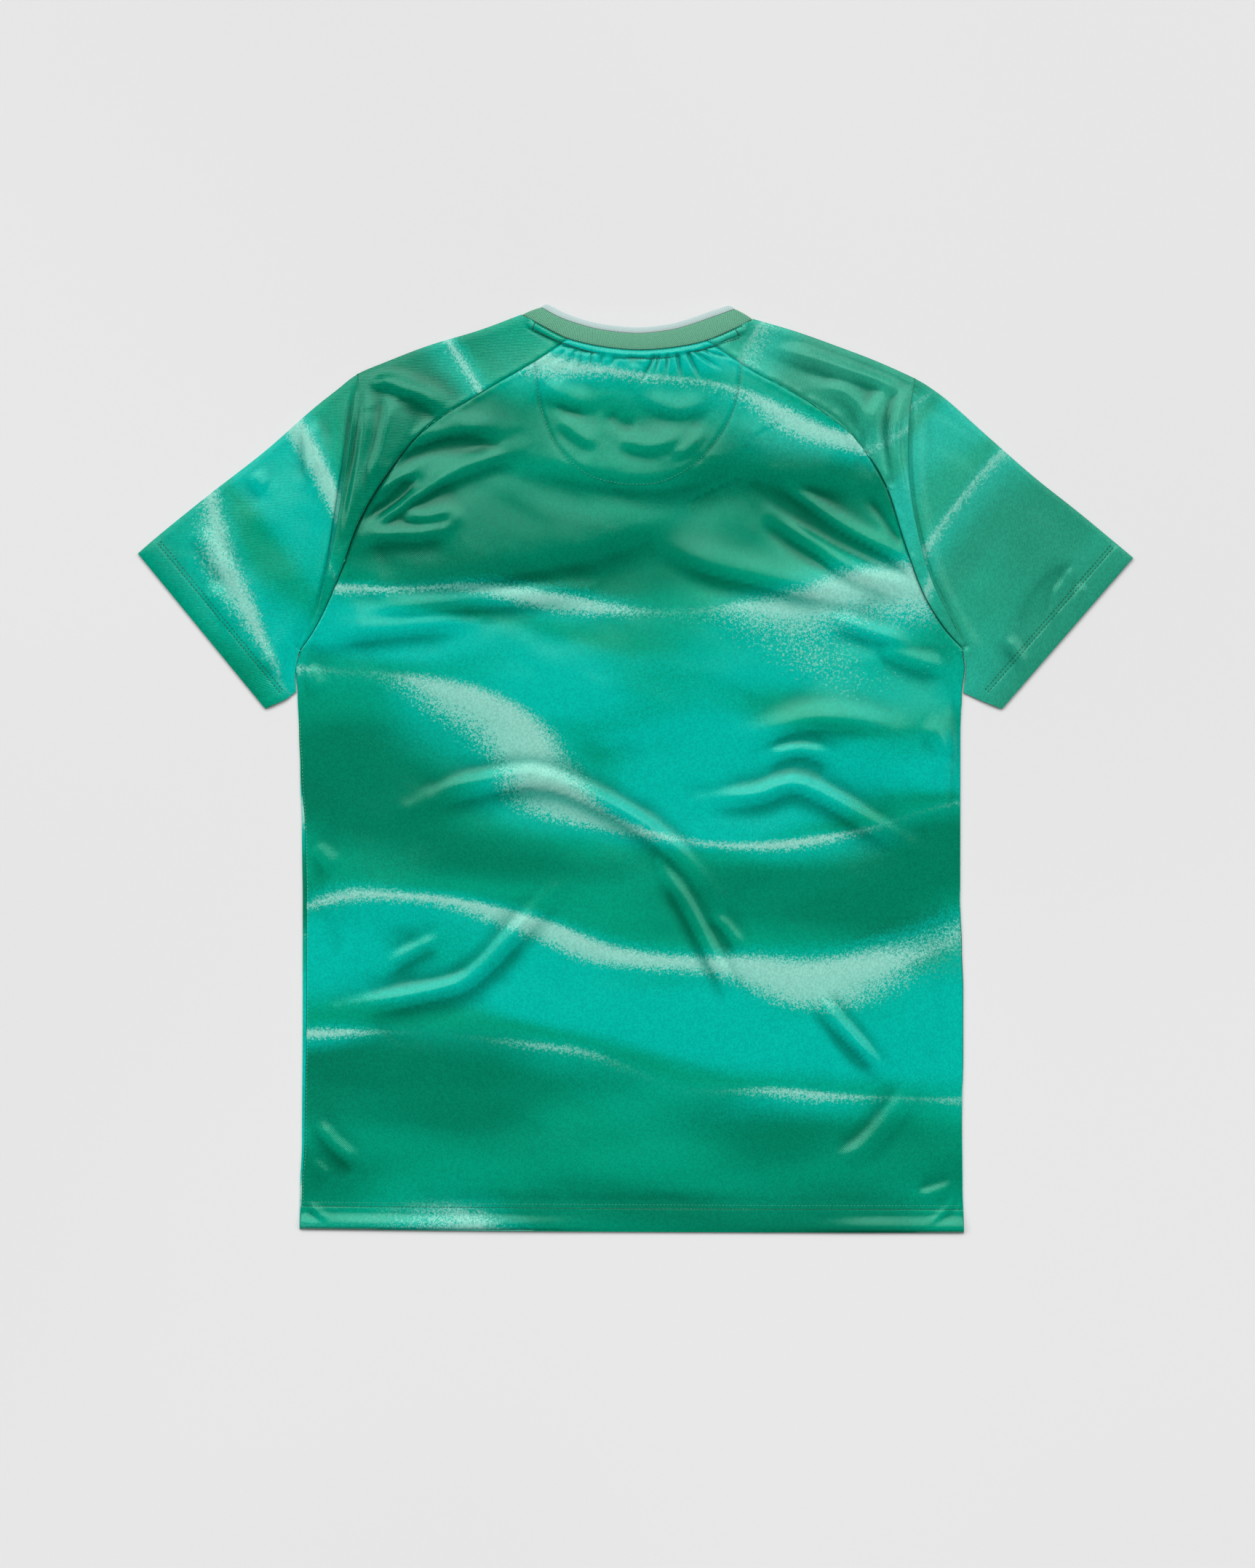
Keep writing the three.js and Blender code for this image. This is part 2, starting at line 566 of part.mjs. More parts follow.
// The front panel lies on the surface. Below the underarm its edges are turned up beside the back panel.
function frontGeometry() {
  const flat = { rise: 0, width: 1.2 };
  const rim = (side, share) => {
    const { inset } = sideRow(side, share);
    return {
      rise: RIM_RISE * smooth(1.6, 2.6, inset),
      width: Math.max(flat.width, inset - SEAM_GAP - RIM_SLOPE),
    };
  };
  const rows = [
    ...RAGLAN_ROWS.map((share) => ({
      plan: raglanRow((s) => s.raglanFront, NECK_FRONT, MEETS_FRONT, FRONT_COLUMNS, share),
      left: flat,
      right: flat,
    })),
    ...BODY_SHARES.map((share) => ({
      plan: bodyRow(share, FRONT_COLUMNS, false),
      left: rim("left", share),
      right: rim("right", share),
    })),
  ];
  const edge = (outermost, next, { rise, width }) => {
    const inwards = direction(outermost, next);
    const at = (off, up) => {
      const plan = outermost.clone().addScaledVector(inwards, off);
      return new THREE.Vector3(plan.x, plan.y, up);
    };
    return [at(0, rise), at(width, rise), at(width + RIM_SLOPE, 0)];
  };
  const plan = rows.map(({ plan: row, left, right }) => [
    ...edge(row[0], row[1], left),
    ...row.slice(1, -1).map((p) => new THREE.Vector3(p.x, p.y, 0)),
    ...edge(row.at(-1), row.at(-2), right).reverse(),
  ]);
  const outer = plan.map((row) => row.map((p) => p.clone().setZ(WALL + p.z)));
  const inner = plan.map((row) => row.map((p) => p.clone().setZ(0)));
  return wall(outer, inner);
}

// Shares of the neck seam at which the pieces beside the collar have points, without the two ends
function neckShares({ left, right }, sleeveColumns, bodyColumns) {
  const part = (from, to, columns) => steps(columns).map((t) => from + (to - from) * t);
  return [
    ...part(0, left, sleeveColumns).slice(1),
    ...part(left, right, bodyColumns).slice(1),
    ...part(right, 1, sleeveColumns).slice(1, -1),
  ];
}

// A flattened ring: over the back of the neck, round the folded end, and back along the front of it.
// Each station is a place on the lower edge and one on the upper edge.
function ringGeometry(lowerBack, upperBack, lowerFront, upperFront) {
  const backShares = neckShares(MEETS_BACK, SLEEVE_COLUMNS, BACK_COLUMNS);
  const frontShares = neckShares(MEETS_FRONT, SLEEVE_UNDER_COLUMNS, FRONT_COLUMNS);
  const overBack = (curve) => (share) => {
    const [p, seam] = [curve.getPointAt(share), NECK_BACK.getPointAt(share)];
    const z = COLLAR_TOP + lift(seam.x, seam.y);
    return { outer: new THREE.Vector3(p.x, p.y, z), inner: new THREE.Vector3(p.x, p.y, z - COLLAR_WALL) };
  };
  const overFront = (curve) => (share) => {
    const p = curve.getPointAt(share);
    return { outer: new THREE.Vector3(p.x, p.y, 0), inner: new THREE.Vector3(p.x, p.y, COLLAR_WALL) };
  };
  const loop = (back, front) => {
    const turn = (end, nextBack, nextFront) => {
      const edge = back.getPointAt(end);
      const over = direction(edge, back.getPointAt(nextBack));
      const under = direction(edge, front.getPointAt(nextFront));
      return foldPoints(edge, over, under, COLLAR_TOP, COLLAR_WALL);
    };
    return [
      ...turn(0, backShares[0], frontShares[0]).reverse(),
      ...backShares.map(overBack(back)),
      ...turn(1, backShares.at(-1), frontShares.at(-1)),
      ...frontShares.map(overFront(front)).reverse(),
    ];
  };
  const [lower, upper] = [loop(lowerBack, lowerFront), loop(upperBack, upperFront)];
  const grid = (layer) => lower.map((low, i) => offBoth(low[layer], upper[i][layer]));
  return wall(grid("outer"), grid("inner"), true);
}

// Two facing points of a strip's edges, each moved off its seam by half the gap
function offBoth(low, high) {
  const way = high.clone().sub(low).setZ(0).setLength(SEAM_GAP / 2);
  return [low.clone().add(way), high.clone().sub(way)];
}

const cloth = new THREE.MeshStandardMaterial({ color: 0x0b9a78, roughness: 0.45, metalness: 0 });
const rib = new THREE.MeshStandardMaterial({ color: 0x62a888, roughness: 0.7, metalness: 0 });
const paleRib = new THREE.MeshStandardMaterial({ color: 0xcfe2df, roughness: 0.7, metalness: 0 });

function piece(name, geometry, material) {
  const mesh = new THREE.Mesh(geometry, material);
  mesh.name = name;
  return mesh;
}

const shirt = new THREE.Group();
shirt.add(
  piece("front_panel", frontGeometry(), cloth),
  piece("back_panel", backGeometry(), cloth),
  piece("sleeve_left", sleeveGeometry("left"), cloth),
  piece("sleeve_right", sleeveGeometry("right"), cloth),
  piece("collar_band", ringGeometry(NECK_BACK, COLLAR_BACK, NECK_FRONT, COLLAR_FRONT), rib),
  piece("collar_edge", ringGeometry(COLLAR_BACK, EDGE_BACK, COLLAR_FRONT, EDGE_FRONT), paleRib),
);

export default shirt;
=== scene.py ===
"""A short-sleeved raglan training T-shirt, laid flat with its back upwards.

Lengths in the tables are millimetres in plan, with +Y towards the neck and +X to the right of
someone looking down on the back. to_frame() turns them into metres in the frame of the solids.
"""

import math

import bpy
import numpy as np
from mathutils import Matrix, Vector


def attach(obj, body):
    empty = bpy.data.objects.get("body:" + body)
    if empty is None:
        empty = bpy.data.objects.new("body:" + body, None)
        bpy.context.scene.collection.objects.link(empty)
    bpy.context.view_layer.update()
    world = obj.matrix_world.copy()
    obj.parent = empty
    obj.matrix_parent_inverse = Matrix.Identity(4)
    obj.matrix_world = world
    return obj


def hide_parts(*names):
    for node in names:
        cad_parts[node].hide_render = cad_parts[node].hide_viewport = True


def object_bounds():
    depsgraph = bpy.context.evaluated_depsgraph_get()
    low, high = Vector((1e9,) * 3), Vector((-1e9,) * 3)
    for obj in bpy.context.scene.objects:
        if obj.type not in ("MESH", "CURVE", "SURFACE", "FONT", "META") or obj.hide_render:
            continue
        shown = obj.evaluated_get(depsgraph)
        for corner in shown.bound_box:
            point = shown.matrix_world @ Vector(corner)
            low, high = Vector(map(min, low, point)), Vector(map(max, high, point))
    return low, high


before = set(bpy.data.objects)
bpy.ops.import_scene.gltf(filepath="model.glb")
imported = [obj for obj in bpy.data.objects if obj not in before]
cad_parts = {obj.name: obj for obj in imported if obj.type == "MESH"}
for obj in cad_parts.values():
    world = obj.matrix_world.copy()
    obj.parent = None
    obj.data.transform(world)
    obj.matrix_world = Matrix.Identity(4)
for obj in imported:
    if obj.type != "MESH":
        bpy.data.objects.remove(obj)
CAD_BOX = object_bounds()

# ---------------------------------------------------------------- sizes

KNIT = 0.7  # thickness of the knitted cloth as it shows
HEM_RISE = 0.45  # a turned hem stands this much over the cloth beside it
BODY_HEM = 22.0
HEM_SAG = 0.8  # how far the middle of the hem lies below the line between its corners
SLEEVE_HEM = 20.6
UPPER = 1.6  # underside of the upper layer where nothing lifts it
FOLD_RADIUS = 1.2  # round the overarm fold of a sleeve
LOFT = 2.0  # how high the upper layer lies, away from the edges
LOFT_REACH = 55.0
COLLAR_WALL = 1.5
SEAM_GAP = 0.16  # from a piece's edge to the middle of its seam
WELT = 6.6  # width of the stitched strip under the collar
PRINT_BACK, PRINT_FRONT = [30, 10], [900, 260]  # how far each panel is moved on the print
UNDERNEATH = 660  # how far a sleeve's lower half is moved on the print, once it is turned over
TWIN = 3.0  # between the two rows of stitches along a hem
GROOVE = 0.9  # how wide a line of stitches or a seam dips
FOLD_EASE = 16.0  # the folds die away over this much beside an edge
LEAST_LIFT = 0.8  # below this the lift eases towards nothing, so that the layers never meet
CLEARANCE = 0.1  # from the surface to a wall's inner side, at least
CREASE_FROM, CREASE_DEPTH = 0.07, 0.74  # how far below its surroundings a crease starts to get painted shade, and the further depth over which that painted shade darkens fully
CREASE_ROUNDS = 36  # how often a point is averaged with its neighbours to find its surroundings

PLAN_LOW = np.array([-404.6, -377.2])
PLAN_HIGH = np.array([404.6, 378.2])

# ---------------------------------------------------------------- outlines, [x, y] from the neck outwards

NECK_BACK = [
    [-92.4, 369.6], [-65.4, 354.8], [-51.2, 348.7], [-27, 343.2],
    [0.9, 340.5], [28, 342.2], [54.8, 347.4], [80.8, 358.2], [95.3, 366],
]
COLLAR_BACK = [
    [-77.4, 375.6], [-61.9, 367], [-44.7, 360.8], [-26.9, 356.4],
    [0.6, 353.6], [26.9, 356.1], [44.1, 360.5], [61.3, 366.6], [81.4, 374.1],
]
EDGE_BACK = [
    [-72.5, 378.3], [-58.5, 371], [-43, 365.2], [-26, 361.2],
    [0.6, 358.6], [26, 361], [42.8, 365.4], [59.5, 371.4], [76.1, 377.1],
]
NECK_FRONT = [
    [-92.4, 369.6], [-86, 340], [-68, 306], [-38, 281],
    [0, 273], [39, 281], [70, 306], [88, 338], [95.3, 366],
]
COLLAR_FRONT = [
    [-77.4, 375.6], [-73, 343], [-57.5, 315], [-32, 293.6],
    [0, 286.2], [33, 293.6], [59, 315], [75, 342], [81.4, 374.1],
]
EDGE_FRONT = [
    [-72.5, 378.3], [-68, 344], [-54, 318], [-30, 298.6],
    [0, 291.6], [31, 298.6], [55.5, 318], [70, 344], [76.1, 377.1],
]

# where the raglan seams meet the collar, as shares of the neck seam
MEETS_BACK = {"left": 0.215, "right": 0.79}
MEETS_FRONT = {"left": 0.14, "right": 0.86}

# each sleeve's outline and seams; then the depth of its tuck, the height and reach of the bank past it,
# and how the print is turned and moved on its cloth
SLEEVES = {
    "left": {
        "raglan_back": [
            [-81, 331.5], [-112, 314], [-138, 298.5], [-171, 276.5], [-198.5, 244],
            [-223.5, 202.5], [-239, 161], [-253.5, 128], [-264, 109], [-272, 98],
        ],
        "raglan_front": [[-120, 306], [-165, 261], [-205, 213], [-236, 166], [-257, 126], [-272, 98]],
        "yoke": [[-92.4, 369.6], [-127, 356.7], [-168, 344.3], [-204, 330.5], [-226, 321]],
        "pleat": [
            [-226, 321], [-230, 290], [-234, 255], [-239, 222], [-245, 184],
            [-254.5, 140], [-261, 120], [-273, 99],
        ],
        "overarm": [
            [-226, 321], [-242.5, 308.4], [-264.6, 290.7], [-301.3, 258.3],
            [-344.8, 224.4], [-382.4, 194.2], [-404.6, 175.2],
        ],
        "underarm": [[-273.6, 98.4], [-277.4, 84], [-276.4, 62.5], [-284, 56.5], [-301, 48.9]],
        "tuck": 12.0,
        "bank": 2.2,
        "bank_reach": 14.0,
        "print_turn": -50.6,
        "print_move": [400, 700],
    },
    "right": {
        "raglan_back": [
            [94, 324.5], [117.5, 312], [140, 299], [164, 284], [185.6, 260],
            [204, 229], [217.5, 187], [233, 144], [250, 116], [266, 98],
        ],
        "raglan_front": [[120, 306], [162, 261], [201, 213], [231, 166], [251, 126], [266, 98]],
        "yoke": [[95.3, 366], [130, 355.8], [164, 343.7], [196, 331.5], [227, 317.5]],
        "pleat": [
            [227, 317.5], [223, 290], [221.5, 262], [222.5, 235], [227, 202],
            [238.5, 158], [252, 129], [267.4, 100],
        ],
        "overarm": [
            [227, 317.5], [242.4, 308.1], [257.2, 296.6], [286.8, 270],
            [324, 237.4], [362, 207.2], [404.6, 171.7],
        ],
        "underarm": [[268.2, 99], [269.4, 88], [269, 80], [267, 61.5], [280.5, 55.4], [297.9, 48.7]],
        "tuck": 9.0,
        "bank": 1.4,
        "bank_reach": 7.0,
        "print_turn": 49.0,
        "print_move": [-500, 430],
    },
}

# the body's side edges from the underarm down: inset is how far the back stops inside the front's edge
SIDES = {
    "left": {
        "y": [98, 82, 60, 30, 0, -55, -108, -200, -304, -340, -374.2],
        "x": [-272.6, -276.4, -275, -273.8, -272.8, -271.4, -270.8, -270.8, -271.4, -272.8, -273.4],
        "inset": [0.5, 0.5, 0.5, 0.6, 1.2, 3.2, 3.4, 3.4, 2.6, 1.8, 1.2],
    },
    "right": {
        "y": [98, 82, 60, 30, -108, -145, -180, -233, -286, -340, -377.2],
        "x": [266.2, 267.6, 265.6, 264.4, 264.3, 265.6, 266.7, 266.7, 265.7, 266.2, 267.3],
        "inset": [0.5, 0.5, 0.5, 0.6, 0.7, 0.7, 0.7, 0.7, 0.7, 0.7, 0.7],
    },
}

# Folds: rise of the ridge, or of a hollow if negative; how far its slope reaches on the left of the
# path and on the right of it; the path is [x, y].
FOLDS = [
    # broad swells
    (3.0, 24, 13, [[-95, 258], [-44, 246], [4, 239], [51, 246], [88, 266]]),
    (3.6, 40, 16, [[-205, 158], [-150, 163], [-103, 170], [-26, 188], [34, 214]]),
    (2.4, 30, 12, [[75, 250], [134, 241], [181, 232]]),
    (2.2, 50, 34, [[-80, 54], [-20, 56], [40, 54], [110, 68]]),
    (1.8, 38, 20, [[-262, -144], [-174, -147], [-103, -120]]),
    (1.6, 40, 30, [[110, -214], [190, -206], [256, -196]]),
    (1.4, 30, 22, [[-230, -300], [-120, -318], [0, -322], [120, -316]]),
    (3.4, 42, 26, [[120, 52], [170, 34], [215, 6], [262, -34]]),
    (2.6, 34, 22, [[-262, -92], [-210, -104], [-150, -104]]),
    # across the middle of the back
    (3.6, 5.5, 8, [
        [-186, -33], [-138, -17], [-91, -8], [-58, -12], [-20, -30], [16, -52], [45, -79], [69, -108],
    ]),
    (1.4, 4, 4, [[-168, -20], [-130, -8], [-88, -1], [-58, -4]]),
    (2.6, 4.5, 5, [[19, -76], [40, -108], [62, -150], [82, -190]]),
    (1.8, 4, 4, [[64, -118], [76, -132], [88, -148]]),
    (3.4, 5.5, 8, [[52, -26], [99, -21], [128, -12], [158, -24], [190, -43], [223, -61]]),
    (2.4, 4.5, 6, [[104, 9], [134, 15], [162, 8]]),
    (2.6, 9, 8, [[88, 22], [134, 38], [170, 40], [212, 32]]),
    (3.4, 5.5, 8, [[-242, -196], [-186, -185], [-144, -175], [-119, -156], [-100, -135], [-67, -99]]),
    (2.2, 5, 5, [[-206, -164], [-183, -150], [-157, -137]]),
    (2.6, 5, 5, [[147, -184], [166, -210], [196, -242]]),
    (1.4, 4, 4, [[162, -200], [180, -222], [204, -250]]),
    (2.4, 5, 5, [[-262, -285], [-245, -305], [-221, -324]]),
    (1.6, 4, 4, [[-264, -318], [-256, -326], [-248, -334]]),
    (2.0, 6, 7, [[224, -258], [202, -288], [181, -310], [158, -323]]),
    (1.8, 5, 5, [[264, -336], [244, -344], [226, -350]]),
    (1.4, 3, 3, [[234, -372], [250, -362], [263, -344]]),
    (-1.2, 2.5, 2.5, [[242, -373], [254, -364], [264, -350]]),
    (1.4, 3, 3, [[-268, -350], [-260, -360], [-248, -370]]),
    (-1.0, 2.5, 2.5, [[-268, -358], [-260, -366], [-252, -372]]),
    (1.6, 7, 7, [[-266, -62], [-254, -72], [-244, -84]]),
    (1.6, 8, 7, [[232, 36], [246, 26], [259, 8]]),
    # beside the left raglan seam
    (2.4, 9, 7, [[-186, 260], [-160, 272], [-136, 277], [-106, 276]]),
    (-2.6, 5, 7, [[-198, 242], [-184, 254], [-164, 262], [-140, 264], [-114, 262]]),
    (2.6, 7, 7, [[-178, 224], [-156, 237], [-128, 249], [-94, 259]]),
    (1.8, 3.5, 4, [[-211, 221], [-200, 231], [-190, 237], [-177, 240]]),
    (-2.8, 4, 4, [[-220, 203], [-206, 211], [-194, 219], [-186, 228], [-178, 238]]),
    (2.0, 4, 4, [[-212, 196], [-198, 208], [-182, 219], [-164, 229], [-148, 239]]),
    (2.0, 4.5, 5, [[-192, 206], [-170, 205], [-154, 208], [-147, 204]]),
    (2.6, 5, 7, [[-227, 183], [-214, 189], [-196, 191], [-172, 192], [-154, 197], [-147, 204]]),
    (2.0, 8, 6, [[-226, 129], [-162, 134], [-103, 138], [-40, 146]]),
    (2.8, 11, 8, [[-256, 106], [-209, 113], [-162, 118], [-132, 120]]),
    (1.8, 6, 6, [[-269, 84], [-262, 72], [-256, 60]]),
    # upper right
    (2.6, 5, 5, [[112, 238], [142, 216], [178, 192], [226, 168]]),
    (-1.9, 5.5, 6, [[98, 229], [125, 210], [153, 192], [190, 173], [228, 155]]),
    (-1.3, 4.5, 4.5, [[186, 224], [204, 200], [220, 175]]),
    (2.2, 6, 7, [[110, 206], [142, 184], [180, 160], [222, 144]]),
    (-1.6, 8, 8, [[98, 203], [128, 183], [164, 159]]),
    (3.0, 12, 8, [[22, 184], [60, 166], [99, 157], [134, 149], [178, 141]]),
    (2.2, 6, 6, [[154, 124], [187, 112], [226, 101]]),
    (1.8, 6, 6, [[196, 100], [226, 88], [254, 82]]),
    # under the neck
    (1.8, 9, 7, [[-74, 316], [-62, 304], [-44, 298], [-30, 300]]),
    (1.4, 7, 6, [[-62, 286], [-46, 272], [-28, 262]]),
    (1.6, 9, 6, [[-16, 268], [8, 262], [26, 266], [40, 276]]),
    (1.4, 8, 6, [[4, 304], [22, 294], [40, 292], [58, 300]]),
    (-1.2, 7, 7, [[-24, 292], [-12, 280], [2, 276]]),
    (1.0, 6, 5, [[26, 252], [44, 262], [56, 276]]),
    (-0.9, 6, 6, [[-66, 300], [-52, 290], [-40, 290]]),
    # the sleeves
    (3.0, 7, 7, [[-221, 321], [-197, 313], [-174, 304], [-155, 293], [-148, 286]]),
    (2.4, 7, 8, [[-266, 290], [-262, 262], [-258, 232]]),
    (1.4, 6, 6, [[-312, 242], [-306, 232], [-298, 228]]),
    (2.4, 8, 7, [[112, 344], [164, 327], [200, 316], [222, 304]]),
    (-1.6, 7, 7, [[164, 336], [196, 326], [226, 315], [244, 300], [262, 282]]),
    (1.4, 6, 5, [[362, 168], [346, 150], [340, 132], [336, 112]]),
    (-3.2, 4.5, 5, [[352, 165], [334, 149], [329, 135], [316, 120]]),
    (-1.6, 4, 4, [[330, 152], [318, 130], [312, 112]]),
    (1.8, 5, 5, [[366, 152], [360, 140], [360, 126]]),
    (1.8, 5, 5, [[300, 108], [312, 90], [316, 72]]),
    (-1.4, 5, 5, [[292, 98], [302, 80], [304, 66]]),
    (1.6, 6, 6, [[-356, 196], [-340, 172], [-322, 150]]),
    (1.8, 8, 8, [[-350, 150], [-336, 132], [-326, 112]]),
    (1.6, 7, 7, [[-306, 92], [-292, 84], [-284, 72]]),
]
# ridges on the sleeves between the raglan seam and the pleat, standing up against it
TUCK_FOLDS = [
    (3.4, 12, 6, [
        [-220, 314.9], [-218, 303.7], [-219, 281.8], [-222, 254.6],
        [-227, 227.3], [-233.5, 194.2], [-235.5, 175.8],
    ]),
    (3.8, 14, 7, [
        [-206, 312.6], [-201.5, 301.3], [-199, 291.9], [-201.5, 276.5],
        [-205, 259.9], [-210, 243.3], [-213, 221.4],
    ]),
    (2.8, 3, 6, [
        [226, 309], [217, 297.2], [213, 281.8], [212, 265.2], [213.5, 248.6], [217, 226.7], [220, 204.8],
    ]),
    (2.2, 5, 7, [[208, 312], [197, 296], [194, 276], [197, 252], [205, 226]]),
    (1.8, 7, 7, [[150, 312], [170, 306], [184, 290], [188, 268]]),
]

# small hollows that spread from under the collar: where each starts, how far it leans, how far it
# reaches down, how wide it is and how deep
GATHERS = np.array([
    (-58, -9, 12, 2.2, 0.7), (-50, -6, 18, 2.6, 1.0), (-44, -3, 20, 1.8, 1.0), (-36, -1, 16, 1.2, 0.9),
    (-27, -3, 14, 2.4, 0.8), (-16, -6, 10, 3.0, 0.8), (-3, 4, 9, 5.0, 0.8), (15, -12, 24, 2.6, 1.6),
    (19, -6, 22, 1.8, 1.3), (26, -2, 20, 1.7, 1.3), (34, 5, 26, 2.0, 1.7), (43, 13, 28, 2.4, 1.8),
    (50, 20, 18, 2.2, 1.4), (57, 26, 12, 2.0, 1.0),
])

# the half-moon facing's stitches
FACING = [
    [-82, 330.3], [-80.2, 313.8], [-77.3, 296.6], [-72.2, 279.4], [-63.6, 261.7], [-51.2, 248],
    [-35.8, 237.4], [-16.9, 232.4], [0.9, 230.9], [18.1, 232.4], [35.2, 239.2], [53, 252.2],
    [66.6, 268.2], [77.3, 287.7], [83.2, 307.2], [85.5, 328],
]
WELT_LINE = [
    [-82, 356.4], [-65.4, 348.7], [-54.8, 344.5], [-41.1, 340], [-26.9, 336.3], [-13.3, 334.3],
    [0.9, 333.4], [18.1, 333.4], [35.2, 335.7], [53, 340], [61.3, 342.9], [73.7, 346.9], [85, 350.5],
]


# ---------------------------------------------------------------- curves and fields


def smooth(low, high, value):
    """0 below low, 1 above high, and 3t^2 - 2t^3 between."""
    t = np.clip((np.asarray(value, float) - low) / (high - low), 0, 1)
    return t * t * (3 - 2 * t)


def bell(distance, width):
    """1 on a line and falling off beside it: e to the minus square of the distance over the width."""
    return np.exp(-((distance / width) ** 2))


def unit(vectors):
    """Each vector divided by its length."""
    return vectors / np.maximum(np.linalg.norm(vectors, axis=-1, keepdims=True), 1e-9)


def steps_of(points):
    """The distance from each point to the next."""
    return np.linalg.norm(np.diff(points, axis=0), axis=1)


def running(steps):
    """The sum of the steps before each point, from 0."""
    return np.concatenate([[0], np.cumsum(steps)])


def line(rows, per=24):
    """A Catmull-Rom curve through the rows: its points and the share of its length at each."""
    p = np.array(rows, float)
    ends = np.vstack([2 * p[0] - p[1], p, 2 * p[-1] - p[-2]])
    a, b, c, d = ends[:-3, None], ends[1:-2, None], ends[2:-1, None], ends[3:, None]
    t = (np.arange(per) / per)[None, :, None]
    mid = 0.5 * (2 * b + (c - a) * t + (2 * a - 5 * b + 4 * c - d) * t**2 + (3 * b - a - 3 * c + d) * t**3)
    points = np.vstack([mid.reshape(-1, p.shape[1]), p[-1:]])
    return points, shares_of(points)


def chain(rows):
    """Straight stretches through the rows, in the form that line() gives."""
    points = np.array(rows, float)
    return points, shares_of(points)


def shares_of(points):
    """The share of the whole length at each point."""
    total = running(steps_of(points))
    return total / total[-1]


def at(curve, share):
    """The points of a curve at shares of its length."""
    points, along = curve
    return np.stack([np.interp(share, along, points[:, k]) for k in range(points.shape[1])], -1)


def even(curve, count, start=0, end=1):
    """Points at even steps along a curve, between two shares of its length."""
    return at(curve, np.linspace(start, end, count))


def length(curve):
    """The sum of a curve's steps."""
    return float(steps_of(curve[0]).sum())


def part_of(curve, start, end, count=60):
    """The stretch of a curve between two shares of its length."""
    points = even(curve, count, start, end)
    return points, shares_of(points)


def spaced(*stretches):
    """Values from 0 to 1, in stretches of even steps: each is where it ends and how many steps it has."""
    found, start = [np.zeros(1)], 0.0
    for end, steps in stretches:
        found.append(np.linspace(start, end, steps + 1)[1:])
        start = end
    return np.concatenate(found)


def joined(*curves):
    """Curves end to end: each next one without its first point."""
    points = np.vstack([c[0] if i == 0 else c[0][1:] for i, c in enumerate(curves)])
    return points, shares_of(points)


def backwards(curve):
    """A curve from its end to its start."""
    return curve[0][::-1], 1 - curve[1][::-1]


def nearest(path, p):
    """How far each point p is from a polyline, on which side (1 is left), and how far along, 0 to 1."""
    path = np.asarray(path, float)
    best = np.full(p.shape[:-1], np.inf)
    side = np.ones(p.shape[:-1])
    along = np.zeros(p.shape[:-1])
    for i, (a, b) in enumerate(zip(path[:-1], path[1:])):
        d = b - a
        t = np.clip(((p - a) @ d) / (d @ d), 0, 1)
        off = p - a - t[..., None] * d
        distance = np.hypot(off[..., 0], off[..., 1])
        turn = d[0] * (p[..., 1] - a[1]) - d[1] * (p[..., 0] - a[0])
        closer = distance < best
        best = np.where(closer, distance, best)
        side = np.where(closer, np.where(turn < 0, -1, 1), side)
        along = np.where(closer, (i + t) / (len(path) - 1), along)
    return best, side, along


def ripples(p, size, seed):
    """Value noise from -1 to 1: seeded random heights on a square grid, eased between its points."""
    rng = np.random.default_rng(seed)
    table = rng.uniform(-1, 1, (64, 64))
    q = np.asarray(p) / size + 19.3
    cell = np.floor(q).astype(int)
    t = q - cell
    t = t * t * t * (t * (t * 6 - 15) + 10)
    x, y = cell[..., 0] % 63, cell[..., 1] % 63
    low = table[x, y] * (1 - t[..., 0]) + table[x + 1, y] * t[..., 0]
    high = table[x, y + 1] * (1 - t[..., 0]) + table[x + 1, y + 1] * t[..., 0]
    return low * (1 - t[..., 1]) + high * t[..., 1]


def turned(p, degrees, stretch):
    """Points turned in plan and squeezed along the first axis, so that noise on them has a direction."""
    c, s = math.cos(math.radians(degrees)), math.sin(math.radians(degrees))
    x, y = p[..., 0] * c + p[..., 1] * s, p[..., 1] * c - p[..., 0] * s
    return np.stack([x / stretch, y], -1)


NECK = {"back": line(NECK_BACK), "front": line(NECK_FRONT)}


def prepared(side):
    """A sleeve's curves. Its start edge runs up the raglan seam from the underarm and on along the neck."""
    rows = SLEEVES[side]
    last = 0.0 if side == "left" else 1.0
    made = dict(rows)
    for layer, meets in (("back", MEETS_BACK), ("front", MEETS_FRONT)):
        neck = NECK[layer]
        corner = at(neck, meets[side])
        raglan = line([corner.tolist()] + rows["raglan_" + layer])
        made["raglan_" + layer] = raglan
        made["start_" + layer] = joined(backwards(raglan), part_of(neck, meets[side], last))
    made["pleat"] = line(rows["pleat"])
    outline = line(rows["yoke"] + rows["overarm"][1:], 24)
    shoulder = outline[1][24 * (len(rows["yoke"]) - 1)]
    made["yoke"], made["overarm"] = part_of(outline, 0, shoulder), part_of(outline, shoulder, 1)
    made["underarm"] = chain(rows["underarm"])
    made["cuff"] = chain([rows["underarm"][-1], rows["overarm"][-1]])
    return made


ARMS = {side: prepared(side) for side in ("left", "right")}


def edges():
    """Everything that bounds the garment but the neck, as polylines: the loft is nothing there."""
    found = []
    for side, arm in ARMS.items():
        found += [even(arm["yoke"], 9), even(arm["overarm"], 9)]
        found += [arm["cuff"][0], arm["underarm"][0]]
        found.append(np.stack([SIDES[side]["x"], SIDES[side]["y"]], -1))
    found.append(np.array([[SIDES[s]["x"][-1], SIDES[s]["y"][-1]] for s in ("left", "right")]))
    return found


EDGES = edges()
HEM_LINE = EDGES[-1]


